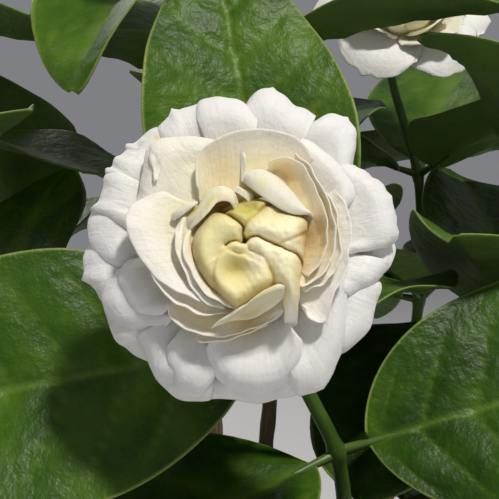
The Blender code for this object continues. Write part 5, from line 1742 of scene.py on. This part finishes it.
TRACED_CUP = (
    Traced(((197, 186, 7.6), (196, 173, 7.8), (196, 161, 8.0), (201, 150, 8.3), (211, 142, 8.7), (226, 134, 9.1),
            (243, 129.5, 9.3), (260, 128.5, 9.3), (278, 131, 9.1), (294, 136, 8.7), (306, 146, 8.2), (314, 160, 7.6)),
           (238, 203, 7.9), (0.64, 6.2), (0.18, 0.75), 0.55, 4.8, 0.6),
    Traced(((160, 192, 5.8), (146, 197, 6.4), (134, 203, 7.3), (127, 212, 8.0), (125.5, 226, 8.4), (131, 241, 8.5),
            (139, 257, 8.6), (150, 271, 8.8), (162, 283, 9.0), (174, 290, 9.2), (187, 296, 9.3), (200, 301, 9.4)),
           (218, 244, 7.6), (0.62, 6.6), (0.10, 0.75), 0.15, 5.0, 1.0),
    Traced(((334, 190, 7.0), (342, 197, 7.4), (348, 210, 7.6), (351, 222, 7.8), (352.5, 233, 7.8), (350, 243, 7.8),
            (349, 254, 7.8), (349, 264, 7.8), (345, 273, 7.6), (340, 283, 7.4), (335, 293, 7.2), (331, 304, 7.0),
            (330, 313, 6.6), (326, 321, 6.2), (318, 323.5, 6.2), (310, 319, 6.4), (306, 308, 6.8)),
           (292, 245, 6.2), (0.80, 5.9), (0.04, 0.6), 0.2, 5.0, 1.3),
    Traced(((322, 188, 8.0), (332, 200, 8.2), (337, 214, 8.4), (339, 230, 8.4), (341, 244, 8.4), (341, 256, 8.4),
            (336, 269, 8.2), (327, 280, 8.0), (316, 287, 7.8), (305, 291, 7.8)), (290, 246, 6.4), (0.84, 6.4),
           (0.18, 0.85), 0.5, 4.0, 1.6),
    Traced(((296, 152, 8.4), (311, 168, 8.7), (322, 187, 8.9), (330, 204, 9.0), (334, 218, 9.1), (336, 232, 9.1),
            (335, 247, 9.0), (331, 261, 8.9), (323, 273, 8.7), (312, 282, 8.5), (302, 287, 8.4)),
           (288, 244, 6.6), (0.86, 6.6), (0.22, 0.9), 0.6, 4.0, 1.6),
    Traced(((268, 163, 8.6), (276, 158, 9.0), (287, 157, 9.3), (298, 161, 9.6), (308, 172, 9.7), (315, 186, 9.7),
            (321, 200, 9.7), (326, 214, 9.7), (328, 228, 9.6), (327, 241, 9.5), (324, 254, 9.2), (318, 266, 8.9),
            (308, 276, 8.6)), (282, 236, 7.0), (0.82, 6.2), (0.28, 1.0), 0.8, 4.0, 1.0),
    Traced(((167, 304, 7.4), (169, 315, 7.2), (176, 324, 7.1), (187, 330, 7.0), (198, 334, 7.0), (210, 336.5, 7.0),
            (222, 337, 7.0), (234, 335, 7.0), (246, 331, 7.0), (258, 327, 7.0), (270, 322, 6.8), (282, 314, 6.2)),
           (246, 284, 7.4), (0.80, 6.0), (0.18, 1.0), 0.8, 6.5, 1.4),
    Traced(((196, 337, 6.2), (200, 341.5, 6.3), (214, 342, 6.3), (228, 340, 6.3), (242, 335, 6.3), (256, 330, 6.3),
            (268, 324.5, 6.2)), (238, 290, 6.4), (0.88, 5.0), (0.12, 0.8), 0.6, 4.0, 1.2),
    Traced(((150, 273, 8.7), (160, 288, 8.7), (171, 300, 8.7), (182, 306, 8.7), (193, 311.5, 8.7), (205, 315.5, 8.7),
            (217, 314.5, 8.7), (229, 312.5, 8.7), (242, 312, 8.5)), (226, 272, 7.6), (0.86, 7.4), (0.18, 0.8), 0.3,
           5.0, 1.4),
    Traced(((184, 218, 7.4), (177, 226, 8.4), (174.5, 237, 9.1), (176, 250, 9.3), (180, 263, 9.4), (186, 276, 9.5), (192, 288, 9.5),
            (199, 299, 9.5), (210, 305, 9.5), (224, 309, 9.3)), (218, 256, 7.8), (0.88, 7.8), (0.26, 0.8), 0.15, 4.6,
           1.2),
    Traced(((191, 227, 8.0), (185, 235, 9.2), (182.5, 247, 9.8), (185, 259, 9.9), (190, 270, 10.0), (195, 281, 10.1), (202, 290, 10.1),
            (211, 298, 10.1), (222, 304, 10.1), (236, 309, 9.9)), (219, 255, 8.0), (0.90, 8.2), (0.30, 0.95), 0.6,
           4.2, 1.0),
)
TRACED_CURLED = (
    Traced(((244, 182, 8.6), (251, 188.5, 10.0), (261, 196, 10.4), (272, 204, 10.6), (283, 210.5, 10.4),
            (295, 214.5, 10.2), (310, 214.5, 9.6)), depth=(0.28, 0.3), crinkle=0.7, bulge=0.5,
           crest=((243, 181, 8.5), (246, 174, 9.2), (255, 171, 9.6), (265, 172.5, 9.8), (277, 179, 9.9),
                  (289, 191, 10.0), (302, 205, 9.8), (314, 214, 9.3))),
    Traced(((189, 232, 8.3), (196, 226, 9.4), (203, 220, 9.9), (209, 214, 10.1), (213.5, 207.5, 10.1),
            (217, 203, 9.9), (223, 201, 9.9), (229, 201.5, 9.8), (233, 205, 9.5), (236, 211, 8.8)),
           depth=(0.34, 0.5), warm=-0.1, crinkle=3.4, bulge=0.06, apron=3.4,
           crest=((186, 226, 8.1), (190, 219, 9.1), (197, 213, 9.5), (203, 207, 9.6), (206.5, 200, 9.4),
                  (211, 192, 9.4), (219, 187.5, 9.5), (228, 188.5, 9.4), (235, 194, 9.2), (240, 205, 8.4))),
    Traced(((173, 221, 7.9), (181, 216, 8.7), (189, 210, 9.0), (198, 203.5, 9.1)), depth=(0.30, 0.5), crinkle=1.4,
           bulge=0.04, apron=4.0,
           crest=((171.5, 218, 7.8), (179, 211, 8.6), (188, 205.5, 8.9), (197.5, 201, 9.0))),
    Traced(((234, 191, 8.3), (241, 195.5, 9.1), (247, 200.5, 9.3), (252, 207, 8.7)), depth=(0.35, 0.5), crinkle=1.4,
           bulge=0.04, apron=2.0,
           crest=((236, 188, 8.2), (243, 190.5, 8.9), (250, 195.5, 9.1), (255, 204, 8.5))),
    Traced(((239, 148, 7.4), (240, 158, 7.5), (241, 168, 7.6), (241, 182, 8.0)), depth=(0.25, 0.3), crinkle=0.3,
           bulge=0.05, apron=1.8,
           crest=((239.5, 147, 7.4), (245, 156, 8.1), (246, 167, 8.2), (245, 182, 8.6))),
    # Its depth and warmth paint the grey shade that this petal lies in.
    Traced(((211, 328, 8.2), (222, 323.5, 8.3), (231, 320.5, 8.3), (242, 320, 8.2), (253, 318.5, 8.0),
            (264, 313, 7.9), (275, 306, 7.9), (287, 296, 8.4)), depth=(0.50, 0.35), warm=-0.05, crinkle=1.6,
           crest=((224, 319, 9.2), (235, 311, 9.9), (245, 304.5, 10.4), (255, 297.5, 10.8), (264, 292, 11.0),
                  (273, 288, 11.0), (281, 285.5, 10.7), (288, 290, 9.8)), bulge=0.0),
    Traced(((151, 146, 5.6), (160, 155, 6.2), (161, 167, 6.5), (157, 181, 6.7)), depth=(0.16, 0.16), crinkle=0.4,
           bulge=0.05, apron=1.4,
           crest=((150, 145, 5.6), (150.5, 157, 6.3), (152, 168, 6.7), (156, 181, 6.7))),
)
# Soft patches of painted shade in the hollows and pockets of the front bloom, and of its own cream and white tone:
# pixel x, pixel y, reach in pixels, and what they add to depth and to warmth
SHADE_AND_TONE_PATCHES = (
    (222, 168, 17, 0.20, 0.30), (257, 158, 9, 0.10, 0.2), (284, 176, 16, 0.18, 0.30), (172, 168, 46, 0.14, -0.05),
    (314, 236, 16, 0.24, 0.40), (250, 326, 17, 0.35, 0.5), (200, 322, 14, 0.20, -0.2), (160, 262, 14, 0.12, -0.25),
    (330, 205, 12, 0.15, -0.1), (195, 212, 7, 0.25, 0.3), (250, 207, 13, 0.5, -0.6), (157, 139, 3, 0.8, 1.0),
    (292, 312, 15, -0.35, 0.15), (262, 182, 9, 0.2, -0.3), (234, 268, 13, 0.34, 0.25), (258, 286, 12, 0.25, 0.0),
    (292, 322, 9, -0.3, 0.0), (272, 270, 6, 0.3, 0.0), (222, 207, 9, 0.45, 0.9), (275, 212, 14, 0.25, 0.2), (196, 262, 5, 0.1, 0.4),
)
print("traced petals:", len(TRACED_BACK) + len(TRACED_FRONT) + len(TRACED_CUP) + len(TRACED_CURLED))

# %% Surface of a traced petal
CURL_WALL = 4.4
CURL_FALL = 3.0
HEART_MIDDLE = (246, 258)


def petal_rim(petal, way):
    """The rim in mm at shares of its length, with its small points drawn out."""
    rim = even_line(photo_places(petal.rim), way)
    for tip in petal.tips:
        place = photo_places([(*tip, petal.rim[0][2])])[0]
        nearest = rim[int(np.linalg.norm((rim - place)[:, :2], axis=1).argmin())]
        run = np.linalg.norm(rim - nearest, axis=1)
        rim = rim + np.exp(-(run / 0.42) ** 2)[:, None] * (place - nearest) * (1, 1, 0)
    return rim


def traced_grid(petal, shares, way):
    """Places in mm of a traced petal at shares of the way from its foot to its rim and along them."""
    rim = petal_rim(petal, way)
    s = shares[:, None, None]
    if petal.crest:
        crest = even_line(photo_places(petal.crest), way)
        over = (crest + rim) / 2 + (0, 0, petal.bulge)
        out = unit((crest - photo_places([(*HEART_MIDDLE, 9.0)])) * (1, 1, 0)) * petal.apron
        fall = np.array((0, 0, CURL_FALL if petal.apron else CURL_WALL))
        rows = [crest + out - fall, crest + 0.45 * out - 0.4 * fall, crest, over, rim]
        return even_line(np.array(rows).reshape(5, -1), shares).reshape(len(shares), len(way), 3)
    chord = unit((rim[-1] - rim[0]) * (1, 1, 0))
    foot = photo_places([petal.foot]) + np.outer(way - 0.5, chord) * 2 * petal.spread
    knee = foot + (rim - foot) * petal.knee[0]
    knee[:, 2] = petal.knee[1]
    return (1 - s) ** 2 * foot + 2 * s * (1 - s) * knee + s ** 2 * rim


def shaded_and_toned(places, depth, tone):
    """Depth and warmth after the patches of painted shade and tone that reach these places, which are in mm."""
    x, y = photo_pixels(places)
    for at_x, at_y, reach, deeper, warmer in SHADE_AND_TONE_PATCHES:
        share = np.exp(-((x - at_x) ** 2 + (y - at_y) ** 2) / reach ** 2)
        depth = depth + deeper * share
        tone = tone + warmer * share
    return depth, tone


def add_traced(body, petal, seed, shape):
    rows, columns = shape
    draw = random.Random(f"traced {seed}")
    shares = ((1 + rim_spacing(rows)) / 2) ** 0.85
    way = (1 + rim_spacing(columns)) / 2
    middle = traced_grid(petal, shares, way)
    if np.mean(grid_normals(middle)[..., 2]) < 0:
        middle = middle[:, ::-1]
    normal = grid_normals(middle)
    s, u = np.meshgrid(shares, 2 * way - 1, indexing="ij")
    length = np.linalg.norm(middle[-1] - middle[0], axis=-1).max()
    width = np.linalg.norm(np.diff(middle[-1], axis=0), axis=-1).sum()
    pleats = sum(np.sin(u * draw.uniform(2, 7) + s * draw.uniform(-2, 2) + draw.uniform(0, 6)) for _ in range(4))
    waves = np.sin(s * width * draw.uniform(0.35, 0.6) + u * draw.uniform(-2, 2) + draw.uniform(0, 6))
    along, across = (0.25, 22) if petal.crest else (1.0, 6)
    frill = sum(np.sin(u * width * along * draw.uniform(0.5, 1.4) + s * across * draw.uniform(-1, 1)
                       + draw.uniform(0, 6)) for _ in range(4))
    rise = (0.08 * pleats + 0.07 * petal.crinkle * waves) * ease(s, 0.15, 0.7) * (1 - s ** 4)
    rise = rise + 0.04 * petal.crinkle * frill * ease(s, *((0.25, 0.5) if petal.crest else (0.6, 1.0)))
    if not petal.crest and petal.knee[1] > petal.rim[0][2]:
        rise = rise + 0.55 * np.sin(math.pi * np.clip((s - 0.55) / 0.45, 0, 1))
    middle = middle + rise[..., None] * normal
    edge = np.minimum((1 - np.abs(u)) * 0.5 * width * (0.25 + 0.75 * s), (1 - s) * length)
    thick = 0.5 * PETAL_SKIN * np.sqrt(np.clip(1 - (1 - np.clip(edge / 0.28, 0, 1)) ** 2, 0, 1))
    # Colour from the foot to the rim, with patches of painted shade and tone laid over it.
    depth, tone = shaded_and_toned(middle, petal.depth[0] + (petal.depth[1] - petal.depth[0]) * (1 - s) ** 1.2,
                          np.full_like(s, petal.warm))
    if petal.crest:
        depth = depth + 0.05 * petal.crinkle * np.maximum(frill, 0)
    points, faces = skin(middle * MM, thick, thick)
    points = points @ np.array(FRONT_FRAME.to_3x3()).T + np.array(FRONT_FRAME.translation)
    grain = np.stack([u * width / 2, s * length, np.full_like(s, draw.uniform(0, 90))], axis=-1)
    grain = np.concatenate([grain.reshape(-1, 3), grain[1:-1, 1:-1].reshape(-1, 3)])
    body.add(points, faces, 0, grain, depth=both_sides(depth), rim=both_sides(1 - ease(edge, 0.08, 0.7)),
             along=both_sides(0.35 + 0.65 * s), tone=both_sides(tone), under=sides_of(s.shape))


# %% [markdown]
# ## The heart of the bloom
# In the middle the innermost petals stay closed and press against each other like the lobes of a
# walnut. They show as one domed surface, cut by sharp folds where two lobes meet. So the heart
# is a field of heights: a dome inside a traced edge, less a fold along each traced line. Shade is
# painted into its colour along each fold and round its edge, and a painted brown shade covers the
# low floor that shows through the pockets. Separate petals here would leave a hole in the middle,
# where the real ones leave none.

# %% Heart
class Fold(NamedTuple):
    """A line where two lobes of the heart meet. Points are pixel x and pixel y."""

    line: tuple
    half_width: float  # in pixels
    depth: float  # in mm
    step: float = 0.0  # how much higher the side left of the line stands, in mm
    # How much painted shade darkens the colour along the fold.
    dark: float = 1.0


HEART_EDGE = (
    (226, 203.5), (218, 204), (211, 210), (201, 221), (193, 233), (191, 246), (194, 262), (201, 275), (210, 287),
    (220, 298), (229, 306), (236, 309), (247, 302), (258, 295), (270, 289), (278, 286), (282, 292), (284, 302),
    (284.5, 314), (286, 325), (292, 329), (298, 324), (300, 312), (300.5, 298), (301, 284), (302, 270),
    (305, 258), (306, 246), (308, 230), (309, 220), (303, 213), (288, 207), (272, 199), (258, 194), (246, 194),
    (238, 199), (233, 204),
)
FOLDS = (
    Fold(((223, 209), (232, 216), (239, 221), (243.5, 226), (243, 232), (245, 237.5)), 1.7, 1.8, 0.35),
    Fold(((245, 238), (249, 236.3), (254, 235.7), (259, 236), (265, 239.3), (273, 242.5), (281, 246), (287, 249),
          (293, 251), (298, 253.5), (302, 258), (304, 263)), 1.6, 1.5, 0.15),
    Fold(((245, 238), (242, 241), (238, 240.3), (234, 240.5), (230, 242), (226, 244.5)), 1.5, 1.2, 0.2),
    Fold(((226, 245), (221, 252), (216, 263), (214, 276), (217, 289), (224, 299), (232, 307)), 2.5, 0.25, 0.5, 0.2),
    Fold(((246, 239), (248, 247), (256, 252), (264, 258), (269, 266), (273, 275), (274, 283), (272, 289)), 3.2, 0.9,
         0.3, 0.35),
    Fold(((220, 255), (226, 251), (232, 252.5), (238, 254), (245, 255), (251, 259)), 1.6, 0.35, -0.7, 0.4),
    Fold(((280, 242), (286, 241), (293, 238.5), (300, 234.5), (307, 229)), 1.3, 0.35, 0.35, 0.4),
    Fold(((272, 200), (262, 207), (255, 214), (249, 220), (244, 226)), 2.5, 0.5, -0.3, 0.5),
)
# Rounded hollows and rises of the heart: pixel x, pixel y, reach across and down in pixels, and mm of rise
HEART_SWELLS = (
    (238, 270, 15, 14, -2.0), (247, 204, 12, 9, -1.8), (275, 212, 22, 7, -0.8), (230, 226, 12, 9, 0.35),
    (262, 258, 6, 9, 0.55), (284, 262, 8, 16, 0.35), (276, 232, 18, 6, 0.3), (203, 250, 8, 20, 0.25),
    (297, 246, 6, 5, -0.5), (292, 337, 18, 24, -11.0), (240, 247, 7, 4, 0.35), (221, 205, 9, 5, -2.4),
)
HEART_RADIUS = 10.6
HEART_STEP = 0.17
HEART_TOP = 11.7
HEART_FLOOR = 5.0


def line_gaps(x, y, line):
    """Distance in pixels to a smooth line, with the side it lies on: 1 is left of the line."""
    points = even_line(line, np.linspace(0, 1, 16 * len(line)))
    ways = np.gradient(points, axis=0)
    best = np.full(x.shape, 1e9)
    side = np.zeros(x.shape)
    for (px, py), (wx, wy) in zip(points, ways):
        gap = np.hypot(x - px, y - py)
        nearer = gap < best
        best = np.where(nearer, gap, best)
        side = np.where(nearer, np.sign(wx * (py - y) + wy * (x - px)), side)
    return best, side


def inside(x, y, edge):
    """Whether points lie inside a closed line."""
    odd = np.zeros(x.shape, bool)
    for (ax, ay), (bx, by) in zip(edge, np.roll(edge, -1, axis=0)):
        crosses = (ay > y) != (by > y)
        reach = ax + (y - ay) / (by - ay if by != ay else 1e-9) * (bx - ax)
        odd ^= crosses & (x < reach)
    return odd


def heart_field(x, y):
    """Height in mm, colour depth and warmth of the heart at pixels x and y."""
    edge = even_line(HEART_EDGE + HEART_EDGE[:1], np.linspace(0, 1, 240))
    within = inside(x, y, edge)
    rim_gap, _ = line_gaps(x, y, HEART_EDGE + HEART_EDGE[:1])
    round_off = 1 - np.clip(rim_gap / 15, 0, 1)
    away = np.hypot(x - HEART_MIDDLE[0], y - HEART_MIDDLE[1]) / 50
    height = HEART_TOP - 0.35 * away ** 2 - 2.2 * round_off ** 2.6
    for at_x, at_y, wide, tall, rise in HEART_SWELLS:
        height = height + rise * np.exp(-((x - at_x) / wide) ** 2 - ((y - at_y) / tall) ** 2)
    dark = np.zeros(x.shape)
    for fold in FOLDS:
        gap, side = line_gaps(x, y, fold.line)
        height = height - fold.depth * (0.75 * np.exp(-gap / fold.half_width)
                                        + 0.25 * np.exp(-(gap / fold.half_width / 3) ** 2))
        height = height + 0.5 * fold.step * side * np.exp(-gap / 7) * np.clip(gap / 1.5, 0, 1)
        # Painted shade: the colour darkens along each fold.
        dark = np.maximum(dark, fold.dark * np.exp(-(gap / fold.half_width) ** 2))
    ripple = (0.05 * np.sin(0.33 * x + 1.2 * np.sin(0.15 * y)) * np.sin(0.27 * y + 1.0)
              + 0.03 * np.sin(0.71 * x - 0.52 * y + np.sin(0.2 * x)) + 0.02 * np.sin(0.95 * y + 0.8 * np.sin(0.4 * x)))
    ripple = ripple * ease(x, 205, 262)
    floor_height = np.maximum(HEART_FLOOR - 1.6 * away ** 2, 1.2)
    height = np.where(within, np.maximum(height + ripple, floor_height), floor_height)
    left = ease(250 - x, -8, 12)
    # Colour: the left lobe's own greener cream, painted shade along the folds and round the edge, and painted brown
    # shade on the floor outside the edge.
    depth = np.where(within, 0.44 + 0.20 * left + 0.30 * round_off + 0.45 * dark, 0.85)
    tone = np.where(within, -0.25 - 0.25 * left * ease(262 - y, -10, 20) + 1.5 * dark + 0.75 * round_off, 0.5)
    return height, depth, tone


def add_heart(body):
    middle = photo_places([(*HEART_MIDDLE, 9.0)])[0]
    steps = np.arange(-HEART_RADIUS, HEART_RADIUS, HEART_STEP)
    x, y = np.meshgrid(middle[0] + steps, middle[1] + steps, indexing="ij")
    pixel_x, pixel_y = photo_pixels(np.stack([x, y, np.full_like(x, 10.8)], axis=-1))
    height, depth, tone = heart_field(pixel_x, pixel_y)
    top = np.stack([x, y, height], axis=-1)
    # Patches of painted shade and tone laid over the heart's colour.
    depth, tone = shaded_and_toned(top, depth, tone)
    rows, columns = x.shape
    grid = np.arange(rows * columns).reshape(rows, columns)
    quads = np.stack([grid[:-1, :-1], grid[1:, :-1], grid[1:, 1:], grid[:-1, 1:]], axis=-1).reshape(-1, 4)
    away = np.hypot(x - middle[0], y - middle[1])[:-1, :-1].ravel()
    quads = quads[away < HEART_RADIUS - 0.4]
    count = rows * columns
    edges = np.concatenate([quads[:, [i, (i + 1) % 4]] for i in range(4)])
    open_edges = edges[~np.isin(edges[:, 0] * count + edges[:, 1], edges[:, 1] * count + edges[:, 0])]
    low = top * (1, 1, 0) + (0, 0, 1.0)
    points = np.concatenate([top.reshape(-1, 3), low.reshape(-1, 3), [middle * (1, 1, 0) + (0, 0, 1.0)]])
    skirt = np.stack([open_edges[:, 1], open_edges[:, 0], open_edges[:, 0] + count, open_edges[:, 1] + count], axis=1)
    fan = np.stack([open_edges[:, 1] + count, open_edges[:, 0] + count, np.full(len(open_edges), 2 * count)], axis=1)
    faces = [quads, skirt, fan]
    used = np.unique(np.concatenate([face.ravel() for face in faces]))
    number = np.zeros(len(points), int)
    number[used] = np.arange(len(used))
    marks = [np.concatenate([mark.ravel(), mark.ravel(), [1.0]])[used] for mark in (depth, tone)]
    grain = points[used] * (1, 1, 0.3)
    points = points[used] * MM @ np.array(FRONT_FRAME.to_3x3()).T + np.array(FRONT_FRAME.translation)
    body.add(points, [number[face] for face in faces], 0, grain, depth=marks[0], tone=marks[1], along=1.0)


def make_front_bloom():
    body = Body()
    tube_line = rounded_profile([(0, -TUBE_LENGTH), (TUBE_RADIUS, -TUBE_LENGTH), (TUBE_RADIUS, -2.5), (4.0, 0.2),
                                 (5.2, 1.6), (4.4, 3.4), (0, 3.8)], 0.8, 4)
    add_turned(body, tube_line, FRONT_FRAME, 28, depth=0.9, along=0.3)
    for petals, shape in ((TRACED_BACK, (21, 33)), (TRACED_FRONT, (25, 35)), (TRACED_CUP, (25, 41)),
                          (TRACED_CURLED, (27, 33))):
        for petal in petals:
            add_traced(body, petal, body.count, shape)
    add_heart(body)
    return body.make("petals_front", [petal_white])


# %% Blooms
blooms = {}
for branch in BRANCHES:
    if branch.tip != "bloom":
        continue
    frame_here = frame_at(branch.place, branch.axis)
    if branch.name == "front":
        blooms["front"] = make_front_bloom()
    else:
        blooms[branch.name] = make_bloom(branch.name, side_petals(branch.name), frame_here, SIDE_GRID)
print("bloom faces:", {name: len(piece.data.polygons) for name, piece in blooms.items()})

# %% [markdown]
# ## Buds
# A closed bud is a slim white tube with a pointed head, where the petals lie rolled over one
# another like a furled umbrella. The head is turned, and low ridges wind round it where one petal
# overlaps the next.

# %% Buds
BUD_ROUND = 32
BUD_RIDGES = 5


def make_bud(name, place, axis, size):
    length = TUBE_LENGTH * size
    profile = [(0, -length), (1.1 * size, -length)] + [(r * size, h * size) for r, h in BUD_HEAD]
    profile = long_steps(rounded_profile(profile, 3.4 * size, 6), 0.55)
    points, faces = turned(profile, BUD_ROUND)
    points = np.array(points)
    height = points[:, 2] / size
    angle = np.arctan2(points[:, 1], points[:, 0])
    spiral = (angle / math.tau * BUD_RIDGES + height * 0.16) % 1.0
    ridge = 0.13 * spiral ** 2 * ease(height, -1.0, 3.0) * np.clip((11 - height) / 5, 0, 1)
    points[:, :2] *= (1 + ridge)[:, None] * 0.96
    frame_here = frame_at(place, axis)
    points = points * MM @ np.array(frame_here.to_3x3()).T + np.array(frame_here.translation)
    body = Body()
    quads = np.array([face for face in faces if len(face) == 4])
    threes = np.array([face for face in faces if len(face) == 3])
    grain = np.stack([angle * 3, height, np.zeros_like(height)], axis=-1)
    body.add(points, [quads, threes], 0, grain, depth=np.clip(0.62 - height * 0.045, 0.15, 0.9), along=0.5,
             rim=spiral ** 6 * 0.7)
    return body.make(name, [petal_white])


buds = {}
for branch in BRANCHES:
    if branch.tip == "buds":
        for i, (place, axis, size) in enumerate(bud_frames(branch)):
            buds[f"{branch.name}_{i + 1}"] = make_bud(f"furled_bud_{branch.name}_{i + 1}", place, axis, size)
print("buds:", len(buds))

# %% [markdown]
# ## Floor and light
# The plant stands on a plain pale floor. One soft lamp, high up and a little to the right, models
# the petals as the sun did through haze. A weak cool one fills the shade from the left, and a
# broad one behind the plant keeps its back from going dark. The lamps are area lights, because a
# point light would give the thin petals hard black shadows.

# %% Floor and light
def make_floor():
    finish = Finish("floor", 0.9)
    finish.shader.inputs["Base Color"].default_value = (0.78, 0.78, 0.77, 1)
    floor = plain_object("floor", [(-3, -3, 0), (3, -3, 0), (3, 3, 0), (-3, 3, 0)], [(0, 1, 2, 3)], finish.material)
    return floor


def make_lamp(name, place, target, size, power, colour):
    data = bpy.data.lights.new(name, "AREA")
    data.shape = "SQUARE"
    data.size = size
    data.energy = power
    data.color = colour
    lamp = bpy.data.objects.new(name, data)
    lamp.location = place
    lamp.rotation_euler = (Vector(target) - Vector(place)).to_track_quat("-Z", "Y").to_euler()
    bpy.context.collection.objects.link(lamp)
    return lamp


def make_world():
    world = bpy.data.worlds.new("studio")
    world.use_nodes = True
    background = world.node_tree.nodes["Background"]
    background.inputs["Color"].default_value = (0.93, 0.94, 1.0, 1)
    background.inputs["Strength"].default_value = 0.23
    bpy.context.scene.world = world


floor = make_floor()
bloom_at = Vector(FRONT_BLOOM) * MM
key = make_lamp("key", (0.32, -0.62, 1.26), bloom_at, 0.12, 13.6, (1.0, 0.955, 0.87))
fill = make_lamp("fill", (-0.8, -0.9, 0.5), bloom_at, 1.0, 0.5, (0.96, 0.95, 1.0))
back_light = make_lamp("back_light", (-0.7, 1.3, 1.0), bloom_at, 0.9, 6.0, (1.0, 0.98, 0.95))
make_world()
bpy.context.scene.view_settings.view_transform = "Standard"
print("lights:", key.name, fill.name, back_light.name)

# %% [markdown]
# ## Which piece stands for which solid
# Every fine piece hides the plain solid that it stands for and moves with the plant's one body.

# %% Replace the solids
def settle(piece, node):
    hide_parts(node)
    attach(piece, "root")


settle(pot, "pot")
settle(soil, "soil")
settle(wood, "woody_stems")
for name, piece in shoots.items():
    settle(piece, "shoot_" + name)
for name, piece in blooms.items():
    settle(piece, "bloom_" + name)
for name, piece in buds.items():
    settle(piece, "bud_" + name)
print("pieces:", 3 + len(shoots) + len(blooms) + len(buds))
